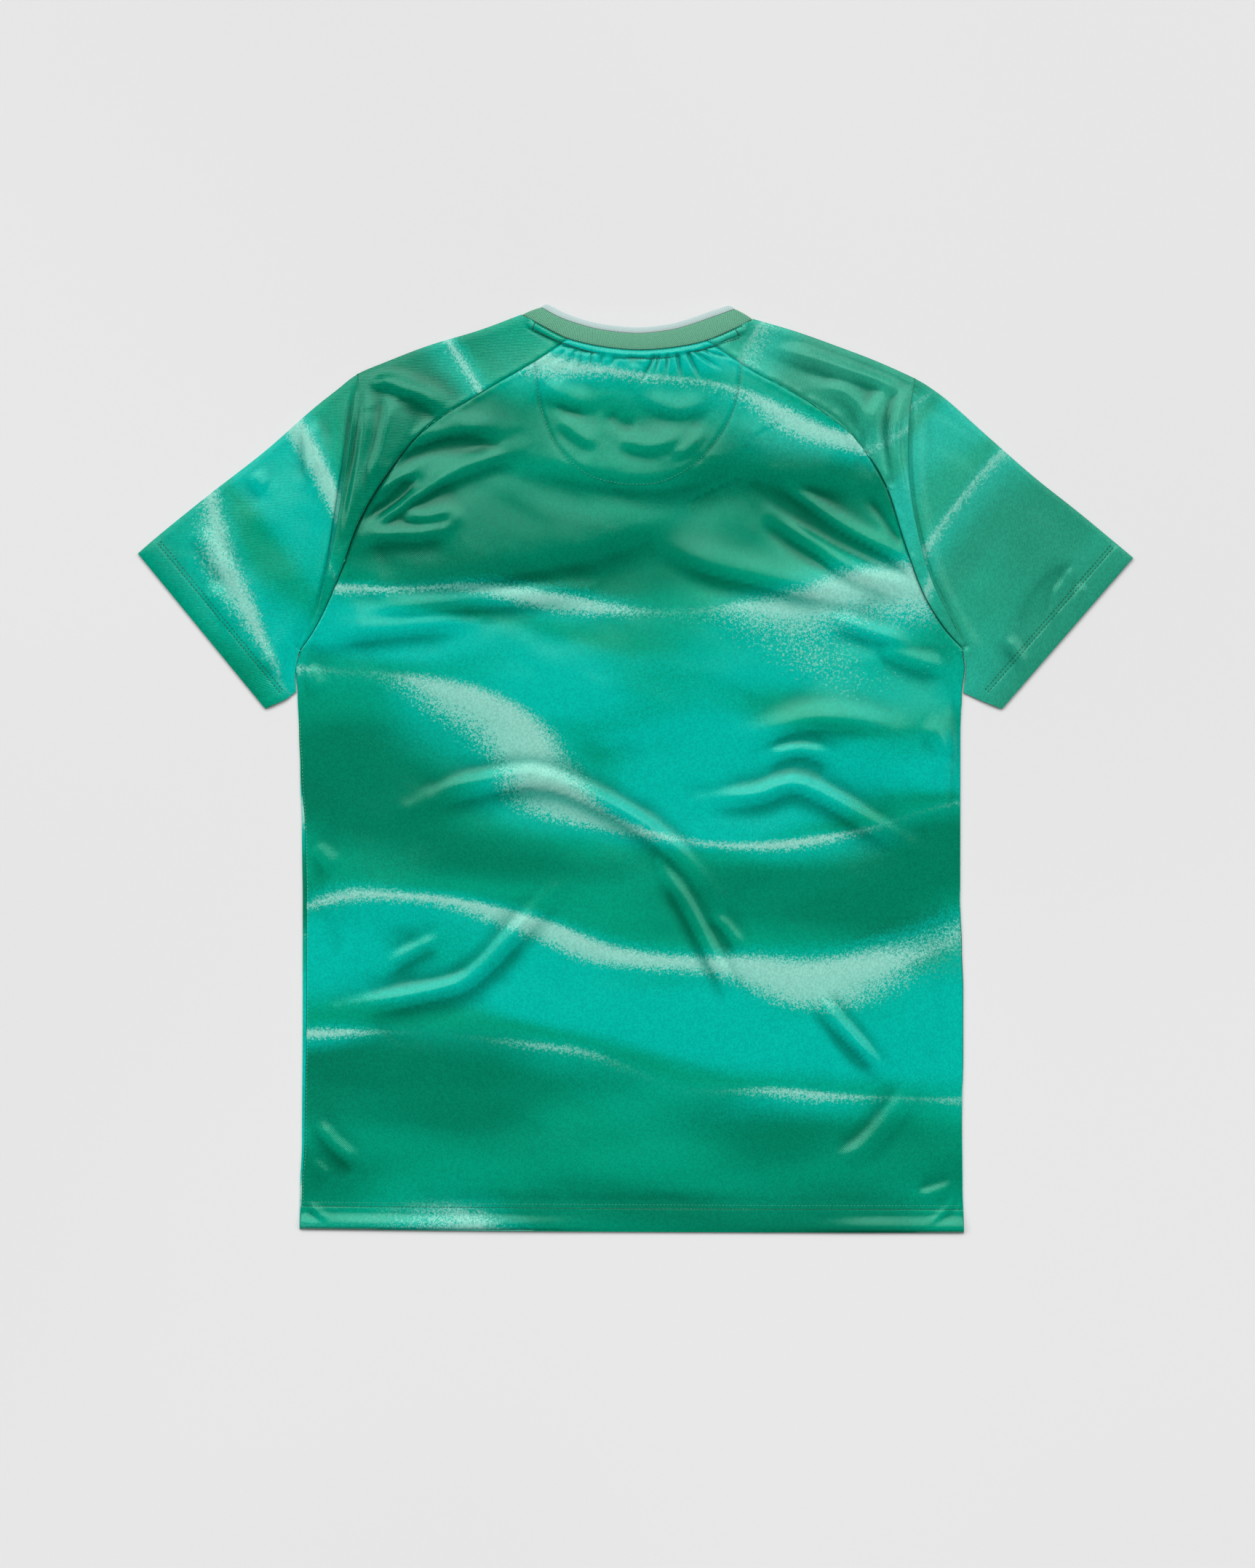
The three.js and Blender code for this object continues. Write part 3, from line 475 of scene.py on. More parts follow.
def fold_field(table, p):
    """The sum of the table's folds: a bell across each path, wider on one side, faded towards its ends,
    with a shallow trough along a ridge's other side."""
    total = np.zeros(p.shape[:-1])
    for rise, reach, lee, path in table:
        distance, side, along = nearest(even(line(path), 18), p)
        ends = smooth(0, 0.3, along) * smooth(1, 0.7, along)
        width = np.where(side > 0, 1.25 * reach, lee)
        past = (distance - 1.3 * lee) / lee
        trough = np.where(side < 0, bell(past, np.where(past < 0, 0.7, 2.3)), 0)
        total += rise * (0.2 + 0.8 * ends) * bell(distance, width) - max(rise, 0) * 0.36 * ends * trough
    return total


def gather_field(p):
    """Small hollows that spread from the welt: each a narrow bell across, deepest near its start."""
    below = 340.5 + 0.0016 * p[..., 0] ** 2 - WELT - p[..., 1]
    total = np.zeros(p.shape[:-1])
    for x, lean, reach, width, depth in GATHERS:
        t = np.clip(below / reach, 0, 1)
        off = (p[..., 0] - x - lean * t) / (width * (0.8 + 0.5 * t))
        total -= depth * (smooth(-3, 1, below) - smooth(0.25, 1.0, t)) * bell(off, 1)
    return total + 0.9 * smooth(-6, 1, below) * smooth(30, 4, below) * smooth(72, 50, np.abs(p[..., 0]))


def lift(p, tucks=False):
    """How far the upper layer is lifted: loft, folds, gathers and slight unevenness, none at the edges."""
    edge = np.min([nearest(path, p)[0] for path in EDGES], axis=0)
    folds = fold_field(FOLDS, p) + gather_field(p)
    if tucks:
        folds = folds + fold_field(TUCK_FOLDS, p)
    uneven = 0.55 * ripples(turned(p, 18, 2.2), 34, 5) + 0.22 * ripples(turned(p, -30, 1.8), 15, 6)
    uneven += 0.8 * ripples(turned(p, 10, 1.6), 80, 7)
    total = LOFT * smooth(0, LOFT_REACH, edge) + (folds + 0.8 * uneven) * smooth(0, FOLD_EASE, edge)
    low = LEAST_LIFT * np.exp(np.minimum(total, LEAST_LIFT) / LEAST_LIFT - 1)
    total = np.where(total > LEAST_LIFT, total, low)
    return total * smooth(0, 5, edge)


def seam_dip(p):
    """A narrow valley along the raglan seams, with the small puckers that sewing leaves beside it."""
    total = np.zeros(p.shape[:-1])
    for arm in ARMS.values():
        distance, _, along = nearest(even(arm["raglan_back"], 60), p)
        total -= 0.5 * bell(distance, GROOVE)
        run = along * length(arm["raglan_back"])
        pucker = np.sin(run / 1.9) + np.sin(run / 3.1)
        total += (0.09 * pucker + 0.2) * bell(distance - 2.6, 2.6)
    return total


def welt(p):
    """The binding that is stitched down under the collar: an arch across its width, pulled in a little
    at each stitch, and a groove at the stitches on its lower edge."""
    neck = even(NECK["back"], 60)
    off, _, along = nearest(neck, p)
    inside = smooth(0.045, 0.06, along) * smooth(0.955, 0.94, along)
    arch = 1.5 * np.sqrt(np.clip(1 - ((off - 3.4) / 3.3) ** 2, 0, 1))
    arch *= 1 + 0.1 * ripples(np.stack([along * 196, off * 0.3], -1), 6.0, 3)
    return (arch - 0.9 * bell(off - WELT, GROOVE)) * inside


def top_of(p, tucks=False):
    """The height of the upper layer's printed side."""
    return UPPER + KNIT + lift(p, tucks) + seam_dip(p) + welt(p)


# ---------------------------------------------------------------- meshes


def raised(plan, z):
    """Points in plan with their heights."""
    return np.concatenate([plan, np.broadcast_to(z, plan.shape[:-1])[..., None]], -1)


def to_frame(points):
    """Millimetres in the tables' plan to metres in the frame, so that the two outlines coincide."""
    points = np.asarray(points, float)
    low, high = np.array(CAD_BOX[0]), np.array(CAD_BOX[1])
    out = np.empty_like(points)
    for k in (0, 1):
        share = (points[..., k] - PLAN_LOW[k]) / (PLAN_HIGH[k] - PLAN_LOW[k])
        out[..., k] = low[k] + share * (high[k] - low[k])
    out[..., 2] = low[2] + points[..., 2] * 0.001
    return out


def painted_shade_mask(z):
    """How far each point of a grid lies below its surroundings, from 0 to 1, which sets how dark the painted
    shade
    in its creases is: it is compared with the grid after each point has been averaged with its neighbours
    many times over."""
    soft = z
    for _ in range(CREASE_ROUNDS):
        p = np.pad(soft, 1, mode="edge")
        soft = (p[:-2, 1:-1] + p[2:, 1:-1] + p[1:-1, :-2] + p[1:-1, 2:] + 4 * soft) / 8
    return np.clip((soft - z - CREASE_FROM) / CREASE_DEPTH, 0, 1)


def mesh_piece(name, points, faces, uv_of_corner, material, hollow=None):
    """An object from points in metres and lists of quads and triangles, with its own cloth coordinates."""
    mesh = bpy.data.meshes.new(name)
    mesh.vertices.add(len(points))
    mesh.vertices.foreach_set("co", points.astype(np.float32).ravel())
    corners = np.concatenate([f.ravel() for f in faces])
    sizes = np.concatenate([np.full(len(f), f.shape[1]) for f in faces])
    mesh.loops.add(len(corners))
    mesh.loops.foreach_set("vertex_index", corners.astype(np.int32))
    mesh.polygons.add(len(sizes))
    mesh.polygons.foreach_set("loop_start", running(sizes)[:-1].astype(np.int32))
    mesh.polygons.foreach_set("use_smooth", np.ones(len(sizes), bool))
    uv = mesh.uv_layers.new(name="cloth").data
    uv.foreach_set("uv", uv_of_corner.astype(np.float32).ravel())
    # how deep the painted shade of the creases is at each point
    if hollow is not None:
        depth = mesh.attributes.new("hollow", "FLOAT", "POINT").data
        depth.foreach_set("value", hollow.astype(np.float32))
    mesh.update(calc_edges=True)
    mesh.validate()
    mesh.set_sharp_from_angle(angle=math.radians(55))
    mesh.materials.append(material)
    obj = bpy.data.objects.new(name, mesh)
    bpy.context.scene.collection.objects.link(obj)
    return obj


def normals_of(grid, ring=False, reach=5):
    """Unit normals of a grid of points: the step along a row crossed with the step to the next row.

    Where points coincide, it is the sum of the normals up to reach columns away.
    """
    if ring:
        around = np.roll(grid, -1, 0) - np.roll(grid, 1, 0)
    else:
        around = np.gradient(grid, axis=0)
    n = np.cross(np.gradient(grid, axis=1), around)
    total = np.cumsum(np.pad(n, ((0, 0), (reach + 1, reach), (0, 0)), mode="edge"), axis=1)
    wide = total[:, 2 * reach + 1:] - total[:, :-(2 * reach + 1)]
    size = np.linalg.norm(n, axis=-1, keepdims=True)
    return unit(np.where(size > 1e-3, n, wide))


def facing(grid, cloth, row, column, up):
    """The grid, with its columns turned round if need be so that its normal there has up's sign."""
    if normals_of(grid)[row, column, 2] * up < 0:
        return grid[:, ::-1], cloth[:, ::-1]
    return grid, cloth


def quads(rows, columns, wrap=False):
    """The quads of a grid numbered row by row, each turned to face along normals_of()."""
    i = np.arange(rows if wrap else rows - 1)
    i, j = np.meshgrid(i, np.arange(columns - 1), indexing="ij")
    here, below = i * columns + j, ((i + 1) % rows) * columns + j
    return np.stack([here, here + 1, below + 1, below], -1).reshape(-1, 4)


def border(rows, columns):
    """The numbers of a grid's points round its edge, in order, starting and ending at the first."""
    grid = np.arange(rows * columns).reshape(rows, columns)
    return np.concatenate([grid[0, :-1], grid[:-1, -1], grid[-1, :0:-1], grid[::-1, 0]])


def wall(name, outer, inner, cloth, material, thin=2):
    """A closed wall: the outer grid, an inner grid with every thin-th row and column, and a rim between.

    Along the rim each coarse stretch is a fan of triangles to its fine points and one that closes it.
    """
    rows, columns = outer.shape[:2]
    assert (rows - 1) % thin == 0 and (columns - 1) % thin == 0, name
    coarse = inner[::thin, ::thin]
    cloth2 = cloth[::thin, ::thin]
    count = rows * columns
    points = to_frame(np.vstack([outer.reshape(-1, 3), coarse.reshape(-1, 3)]))
    uv = np.vstack([cloth.reshape(-1, 2), cloth2.reshape(-1, 2)])
    face_out = quads(rows, columns)
    face_in = quads(*coarse.shape[:2])[:, ::-1] + count
    fine = border(rows, columns)
    rough = border(*coarse.shape[:2]) + count
    step = np.arange(len(fine) - 1)
    near = (step + thin // 2) // thin
    fans = np.stack([fine[step + 1], fine[step], rough[near]], -1)
    m = np.arange(len(rough) - 1)
    turn = m * thin + (thin - thin // 2)
    closing = np.stack([rough[m], rough[m + 1], fine[turn]], -1)
    faces = [face_out, face_in, fans, closing]
    corner_uv = uv[np.concatenate([f.ravel() for f in faces])]
    # painted shade for the creases of the outer grid, none on the inner side
    hollow = np.concatenate([painted_shade_mask(outer[..., 2]).ravel(), np.zeros(coarse[..., 0].size)])
    return mesh_piece(name, points, faces, corner_uv * 0.001, material, hollow)


def band(name, outer, inner, cloth, material):
    """A closed ring of cloth from grids whose last row joins the first. cloth has one row more."""
    rows, columns = outer.shape[:2]
    count = rows * columns
    points = to_frame(np.vstack([outer.reshape(-1, 3), inner.reshape(-1, 3)]))
    face_out = quads(rows, columns, wrap=True)
    face_in = face_out[:, ::-1] + count
    i = np.arange(rows)
    here, below = i * columns, ((i + 1) % rows) * columns
    first = np.stack([here, below, below + count, here + count], -1)
    last = np.stack([here, here + count, below + count, below], -1) + columns - 1
    flat = quads(rows + 1, columns)
    i1 = i + 1
    first_uv = np.stack([i * columns, i1 * columns, i1 * columns, i * columns], -1)
    last_uv = np.stack([i * columns, i * columns, i1 * columns, i1 * columns], -1) + columns - 1
    faces = [face_out, face_in, first, last]
    order = np.concatenate([f.ravel() for f in (flat, flat[:, ::-1], first_uv, last_uv)])
    return mesh_piece(name, points, faces, cloth.reshape(-1, 2)[order] * 0.001, material)


def stitch_row(name, path, pitch, material, width, cover, sink=0.12):
    """A row of thread stitches on a path of 3-D points: each is a spindle whose ends dip into the cloth.

    It has six sides at five places along it, so that a row of hundreds stays light.
    """
    total = running(steps_of(path))
    count = max(1, int(total[-1] / pitch))
    starts = np.arange(count) * (total[-1] / count)
    t = np.array([0, 0.18, 0.5, 0.82, 1.0])
    where = starts[:, None] + t * pitch * cover
    centre = np.stack([np.interp(where, total, path[:, k]) for k in range(3)], -1)
    centre[..., 2] += np.array([-sink, 0.06, 0.16, 0.06, -sink])
    ahead = unit(np.gradient(centre, axis=1))
    sideways = unit(np.cross(ahead, [0, 0, 1.0]))
    up = np.cross(sideways, ahead)
    girth = width / 2 * np.array([0.35, 0.85, 1.0, 0.85, 0.35])
    angle = np.arange(6) / 6 * 2 * np.pi
    ring = np.cos(angle)[:, None] * sideways[:, :, None] + np.sin(angle)[:, None] * up[:, :, None]
    points = centre[:, :, None] + ring * girth[:, None, None]
    local = np.arange(30).reshape(5, 6)
    near, far = local[:-1], local[1:]
    sides = np.stack([near, np.roll(near, -1, 1), np.roll(far, -1, 1), far], -1).reshape(-1, 4)
    caps = np.stack([local[0][::-1], local[-1]])
    base = (np.arange(count) * 30)[:, None, None]
    faces = [(sides[None] + base).reshape(-1, 4)[:, ::-1], (caps[None] + base).reshape(-1, 6)[:, ::-1]]
    flat = points.reshape(-1, 3)
    uv = flat[:, :2][np.concatenate([f.ravel() for f in faces])] * 0.001
    return mesh_piece(name, to_frame(flat), faces, uv, material)


# ---------------------------------------------------------------- materials


def operator(operation, flipped=False):
    """A method of Number that adds a Math node, flipped if the number is the second value."""
    def method(self, other):
        return self.paint.math(operation, *((other, self) if flipped else (self, other)))

    return method


class Number:
    """A number that a shader works out. Arithmetic on it adds Math nodes."""

    def __init__(self, paint, socket):
        self.paint, self.socket = paint, socket

    __add__, __radd__ = operator("ADD"), operator("ADD", True)
    __sub__, __rsub__ = operator("SUBTRACT"), operator("SUBTRACT", True)
    __mul__, __rmul__ = operator("MULTIPLY"), operator("MULTIPLY", True)
    __truediv__ = operator("DIVIDE")


class Paint:
    """A material with a Principled shader, filled from expressions."""

    def __init__(self, name, **settings):
        self.material = bpy.data.materials.new(name)
        self.material.use_nodes = True
        self.tree = self.material.node_tree
        self.shader = self.tree.nodes["Principled BSDF"]
        for key, value in settings.items():
            self.surface(key.replace("_", " "), value)

    def node(self, kind, settings=None, inputs=None):
        """Any node: its type, its settings, and the values or links of its sockets."""
        node = self.tree.nodes.new("ShaderNode" + kind)
        for key, value in (settings or {}).items():
            setattr(node, key, value)
        for key, value in (inputs or {}).items():
            self.feed(node.inputs[key], value)
        return node

    def feed(self, socket, value):
        """A link or a plain value into a socket."""
        if isinstance(value, Number):
            value = value.socket
        if isinstance(value, bpy.types.NodeSocket):
            self.tree.links.new(value, socket)
        else:
            socket.default_value = value

    def surface(self, key, value):
        """A link or a plain value into a socket of the shader."""
        self.feed(self.shader.inputs[key], value)

    def out(self, node, key=0):
        return Number(self, node.outputs[key])

    def math(self, operation, *values):
        return self.out(self.node("Math", {"operation": operation}, dict(enumerate(values))))

    def step(self, low, high, value):
        """0 at low, 1 at high, eased between."""
        ends = {"Value": value, "From Min": low, "From Max": high}
        return self.out(self.node("MapRange", {"interpolation_type": "SMOOTHSTEP"}, ends))

    def wave(self, value, pitch):
        """From -1 to 1 and back over each pitch."""
        return self.math("SINE", value * (2 * math.pi / pitch))

    def axes(self, where):
        """The two coordinates, each as a number."""
        split = self.node("SeparateXYZ", {}, {0: where})
        return self.out(split, "X"), self.out(split, "Y")

    def cloth(self):
        """The piece's own cloth coordinates in millimetres."""
        uv = self.node("UVMap", {"uv_map": "cloth"})
        scale = {0: uv.outputs[0], "Scale": 1000.0}
        return self.node("VectorMath", {"operation": "SCALE"}, scale).outputs[0]

    def place(self, where, move=(0, 0, 0), turn=0.0, size=1.0):
        """Coordinates scaled, turned about Z, then moved."""
        scale = size if isinstance(size, tuple) else (size, size, size)
        inputs = {"Vector": where, "Location": move, "Rotation": (0, 0, turn), "Scale": scale}
        return self.node("Mapping", {}, inputs).outputs[0]

    def noise(self, where, size, detail=2.0, roughness=0.5, distortion=0.0):
        """Noise whose lumps are about size millimetres across."""
        inputs = {"Vector": where, "Scale": 1.0 / size, "Detail": detail}
        inputs.update({"Roughness": roughness, "Distortion": distortion})
        return self.out(self.node("TexNoise", {}, inputs), "Fac")

    def mix(self, factor, first, second, blend="MIX"):
        """A colour between two, as a socket."""
        settings = {"data_type": "RGBA", "blend_type": blend}
        return self.node("Mix", settings, {0: factor, 6: first, 7: second}).outputs[2]

    def specks(self, where, size, turn=0.0):
        """A random number for each square of a grid, from 0 to 1."""
        grid = self.place(where, turn=turn, size=1 / size)
        cell = self.node("VectorMath", {"operation": "FLOOR"}, {0: grid}).outputs[0]
        return self.out(self.node("TexWhiteNoise", {"noise_dimensions": "2D"}, {"Vector": cell}), "Value")

    def bump(self, height, distance, strength=1.0):
        """Relief from a height, over a distance in metres."""
        inputs = {"Height": height, "Distance": distance, "Strength": strength}
        self.surface("Normal", self.node("Bump", {}, inputs).outputs["Normal"])


def colour(red, green, blue):
    """A colour from its usual 0 to 255 values, made linear."""
    def linear(v):
        v /= 255
        return v / 12.92 if v <= 0.04045 else ((v + 0.055) / 1.055) ** 2.4

    return (linear(red), linear(green), linear(blue), 1.0)


DEEP = colour(0, 121, 87)
GREEN = colour(0, 159, 123)
TEAL = colour(0, 194, 177)
OLIVE = colour(8, 102, 70)
# painted highlight on the crests of the knit's loops
PAINTED_LOOP_HIGHLIGHT = colour(6, 188, 158)
PAINTED_SHEEN = colour(76, 190, 162)  # painted sheen: the pale haze of the satin where its rows lie across the light
MINT = colour(168, 229, 214)
SATIN = (0.42, 1.0, 0.78, 1.0)  # the tint of what the cloth reflects
PAINTED_CREASE_SHADE = (0.08, 0.45, 0.41, 1.0)  # painted shade: the tint that darkens the cloth in the depth of a crease
SPECK_AND_LOOP_SHADE = (0.66, 0.7, 0.7, 1.0)  # the tint of random specks, and painted shade between the knit's loops
REPEAT = 132.0  # from one band of the print to the next, in millimetres
TWILL = -0.84  # how far the knit's slanting rows are turned, in radians
ROW_PITCH, LOOP_PITCH = 1.25, 1.6  # from one slanting row, and one loop along it, to the next


def flowing_print(paint, where):
    """Soft bands that drift across the cloth, their edges sprayed into dots, over teal and deep green.

    The distance down the cloth is bent by two wide noises, and its place within each repeat says how
    far a point is from the middle of a band. The ground goes from teal to deep green and back from
    one band to the next. Another noise swells a band or lets it die out, and a fine one moves its
    edges, a little above and further below, so that they break into dots.
    """
    x, y = paint.axes(where)

    def drift(move, squeeze, size, detail):
        """Noise with lumps about size millimetres down the cloth and longer across it."""
        return paint.noise(paint.place(where, move=(*move, 0), size=(squeeze, 1.0, 1.0)), size, detail)

    wide, middle = drift((210, -40), 0.45, 190, 0.0), drift((-90, 330), 0.5, 80, 0.5)
    bent = y + (wide - 0.5) * 260 + (middle - 0.5) * 55 + x * 0.1
    off = (paint.math("FRACT", bent / REPEAT + 0.36) - 0.5) * REPEAT
    below = paint.step(4.0, -4.0, off)
    swell = drift((40, 95), 0.45, 90, 0.4)
    half = paint.step(0.36, 0.68, swell) * 12 - 0.5
    dots = (paint.specks(where, 0.9, TWILL) - 0.5) * 1.5 + (paint.noise(where, 2.4, 0.0) - 0.5) * 1.6
    reach = paint.math("ABSOLUTE", off) - half
    mint = paint.step(4.2, -4.2, reach + dots * (3.4 + below * 3.6))
    mint = mint * paint.step(-1.5, 3.0, half) * paint.step(0.3, 0.42, swell)
    halo = paint.step(16.0 + below * 22.0, -2.0, reach + dots * 5.0) * paint.step(-3.0, 5.0, half)
    other, cloud = drift((150, 20), 0.5, 120, 0.8), drift((31, 77), 0.3, 52, 1.0)
    tone = paint.math("SINE", (bent / REPEAT - 0.14) * math.pi) * 0.34 + 0.5
    tone = tone + (other - 0.5) * 1.1 + (cloud - 0.5) * 0.7
    dark = drift((-310, 140), 0.4, 85, 0.6)
    ground = paint.mix(paint.step(0.1, 0.48, tone), DEEP, GREEN)
    ground = paint.mix(paint.step(0.5, 0.82, tone + dots * 0.05), ground, TEAL)
    shade = paint.step(0.56, 0.72, dark + dots * 0.03) * paint.step(0.7, 0.45, tone) * 0.6
    ground = paint.mix(shade, ground, OLIVE)
    ground = paint.mix(halo * 0.75, ground, TEAL)
    core = paint.step(1.0, -0.4, (half * 0.5 - off) / (half + 2.0) * 0.7 + dots * 0.06)
    return paint.mix(mint * (core * 0.26 + 0.7), ground, MINT)


def knit_material(name, painted_sheen_amount):
    """Printed mesh-knit polyester: satin, with fine slanting rows of loops. The second argument is how
    strongly a painted sheen pales it, for the light its rows catch where they lie across it.
    """
    paint = Paint(name, Specular_IOR_Level=0.38, Specular_Tint=SATIN)
    where = paint.cloth()
    tint = flowing_print(paint, where)
    # painted sheen: a pale haze over the whole piece, patchy over a wide noise
    if painted_sheen_amount:
        tint = paint.mix((paint.noise(where, 60.0, 1.0) * 0.8 + 0.55) * painted_sheen_amount, tint, PAINTED_SHEEN)
    along, across = paint.axes(paint.place(where, turn=TWILL))
    rows = paint.wave(across, ROW_PITCH)
    loops = rows * 0.75 + rows * paint.wave(along, LOOP_PITCH) * 0.25
    fibre = paint.noise(where, 2.2, 2.0, 0.6)
    # painted highlight on the loops' crests, with a little random fibre tone
    lit = paint.step(-0.6, 1.0, loops) * 0.26 + paint.step(0.35, 0.75, fibre) * 0.05
    tint = paint.mix(lit, tint, PAINTED_LOOP_HIGHLIGHT)
    # random specks, and painted shade between the loops
    grain = paint.specks(where, 1.3, TWILL) * 0.6 + paint.step(0.4, -1.0, loops) * 0.4
    tint = paint.mix(grain, tint, SPECK_AND_LOOP_SHADE, "MULTIPLY")
    # painted shade: the cloth is darkened in its creases, by how far each point lies below its surroundings
    hollow = paint.out(paint.node("Attribute", {"attribute_name": "hollow"}), "Fac")
    paint.surface("Base Color", paint.mix(hollow * 0.88, tint, PAINTED_CREASE_SHADE, "MULTIPLY"))
    slack = paint.noise(where, 9.0, 2.0)
    paint.surface("Roughness", 0.135 + fibre * 0.06 + loops * 0.015)
    paint.bump(loops * 0.35 + slack * 0.8 + fibre * 0.3, 0.00012, 0.5)
    return paint.material


def rib_material(name, main, shade, pitch):
    """Fine rib: ridges across the strip's length, with painted shade a little darker between them, and a
    slight slant.
    """
    paint = Paint(name, Roughness=0.75, Sheen_Weight=0.3, Sheen_Roughness=0.5)
    where = paint.cloth()
    along, across = paint.axes(where)
    rib = paint.wave(along + across * 0.55, pitch) * 0.5 + 0.5
    loop = paint.wave(across, 1.0) * 0.5 + 0.5
    mottled = paint.noise(where, 1.6, 2.0, 0.6)
    slant = paint.wave(along - across * 1.2, 1.9) * 0.5 + 0.5
    tone = rib * 0.4 + slant * 0.3 + loop * 0.1 + mottled * 0.4
    # painted shade in the rib's grooves, mixed with slant, loops and random mottling
    paint.surface("Base Color", paint.mix(paint.step(0.2, 0.85, tone), shade, main))
    paint.bump(rib * 0.7 + slant * 0.6 + loop * 0.3 + mottled * 0.3, 0.0002, 0.8)
    return paint.material


def thread_material(name, main, light):
    """Twisted sewing thread."""
    paint = Paint(name, Roughness=0.5, Sheen_Weight=0.2)
    twist = paint.noise(paint.place(paint.cloth(), turn=0.8, size=(1, 4, 1)), 0.8, 1.0)
    paint.surface("Base Color", paint.mix(paint.step(0.3, 0.7, twist), main, light))
    return paint.material


KNIT_CLOTH = knit_material("printed_knit", 0.0)
# the right sleeve's cloth, with painted sheen over it
PAINTED_SHEEN_CLOTH = knit_material("printed_knit_turned", 0.38)
RIB = rib_material("collar_rib", colour(112, 186, 152), colour(44, 120, 90), 1.5)
PALE_RIB = rib_material("pale_rib", colour(202, 222, 220), colour(160, 190, 188), 1.2)
THREAD = thread_material("green_thread", colour(20, 140, 112), colour(80, 188, 160))
DARK_THREAD = thread_material("deep_green_thread", colour(0, 66, 46), colour(0, 100, 72))
PALE_THREAD = thread_material("teal_thread", colour(60, 180, 150), colour(130, 205, 185))


# ---------------------------------------------------------------- the body


def side_at(side, y, key):
    """A column of the side's table at heights y, eased between its rows."""
    table = SIDES[side]
    down = -np.array(table["y"], float)
    values = np.array(table[key], float)
    i = np.clip(np.searchsorted(down, -np.asarray(y)) - 1, 0, len(down) - 2)
    t = smooth(0, 1, (-np.asarray(y) - down[i]) / (down[i + 1] - down[i]))
    return values[i] + (values[i + 1] - values[i]) * t


def body_plan(layer, share, down, t):
    """A body panel in plan: rows from the neck's arc down to the hem.

    Above the underarm a row joins the two raglan seams at equal shares of them, and is bent by a dying
    share of the neck's curve. Below it a row joins the two side edges. t is how far along each row.
    """
    meets = MEETS_BACK if layer == "back" else MEETS_FRONT
    seams = [ARMS[s]["raglan_" + layer] for s in ("left", "right")]
    left, right = at(seams[0], share), at(seams[1], share)
    neck = at(NECK[layer], meets["left"] + (meets["right"] - meets["left"]) * t)
    stray = neck - (neck[0] + (neck[-1] - neck[0]) * t[:, None])
    upper = left[:, None] + (right - left)[:, None] * t[None, :, None]
    upper = upper + stray[None] * ((1 - share) ** 1.5)[:, None, None]
    down = down[1:]
    ends = []
    for side, inwards in (("left", 1), ("right", -1)):
        top, bottom = SIDES[side]["y"][0], SIDES[side]["y"][-1]
        y = top + (bottom - top) * down
        x = side_at(side, y, "x")
        if layer == "back":
            x = x + inwards * side_at(side, y, "inset")
        ends.append(np.stack([x, y], -1))
    lower = ends[0][:, None] + (ends[1] - ends[0])[:, None] * t[None, :, None]
    lower[..., 1] -= HEM_SAG * np.sin(np.pi * t)[None] * (down**8)[:, None]
    plan = np.vstack([upper, lower])
    plan[:, 0] += normal_in_plan(plan[:, 0], plan[:, 2]) * SEAM_GAP
    plan[:, -1] += normal_in_plan(plan[:, -1], plan[:, -3]) * SEAM_GAP
    plan[0, :, 1] -= SEAM_GAP
    return plan


def normal_in_plan(edge, inside):
    """Unit vectors square to an edge in plan, towards the points inside it."""
    along = np.gradient(edge, axis=0)
    square = unit(np.stack([-along[:, 1], along[:, 0]], -1))
    turn = np.sign(np.sum(square * (inside - edge), axis=1, keepdims=True))
    return square * np.where(turn == 0, 1, turn)


def hem_profile(off, width):
    """A turned hem's extra thickness, with a dip at its stitches and a rounded lower edge."""
    inside = smooth(width + 4, width - 5, off)
    arch = 0.35 * np.sin(np.pi * np.clip(off / (width - 3), 0, 1)) ** 0.7
    stitches = 0.12 * bell(off - width, GROOVE) + 0.2 * bell(off - width + TWIN, GROOVE)
    return (HEM_RISE + arch) * inside - stitches


def lowest(z):
    """The lowest of each point of a grid and the points beside it."""
    padded = np.pad(z, 1, mode="edge")
    rows = np.minimum(np.minimum(padded[:-2], padded[1:-1]), padded[2:])
    return np.minimum(np.minimum(rows[:, :-2], rows[:, 1:-1]), rows[:, 2:])


def make_back():
    """The back panel over its plan: loft and folds, with the welt, the facing and the hem in relief."""
    share, down = spaced((0.03, 8), (1, 102)), spaced((0.943, 164), (1, 24))
    plan = body_plan("back", share, down, spaced((0.012, 5), (0.988, 236), (1, 5)))
    z = top_of(plan)
    rim = nearest(even(line(FACING), 50), plan)
    z += 0.28 * smooth(-1.5, 1.5, rim[0] * rim[1]) * smooth(352, 330, plan[..., 1]) * (plan[..., 1] > 229)
    z -= 0.4 * bell(rim[0] - 0.6, 1.0)
    off = nearest(HEM_LINE, plan)[0]
    z += hem_profile(off, BODY_HEM) * (plan[..., 1] < -300)
    curl = smooth(0, -130, plan[..., 0]) + 0.8 * smooth(110, 200, plan[..., 0])
    curl = (2.6 * curl + 0.4 * ripples(plan, 40, 11)) * smooth(15, 3, off) * smooth(-0.5, 2.5, off)
    z += curl * (plan[..., 1] < -300)
    outer, cloth = facing(raised(plan, z), plan + PRINT_BACK, 150, 120, 1)
    inner = outer.copy()
    inner[..., 2] = np.maximum(lowest(outer[..., 2]) - KNIT, UPPER - 0.1)
    return wall("back", outer, inner, cloth, KNIT_CLOTH)


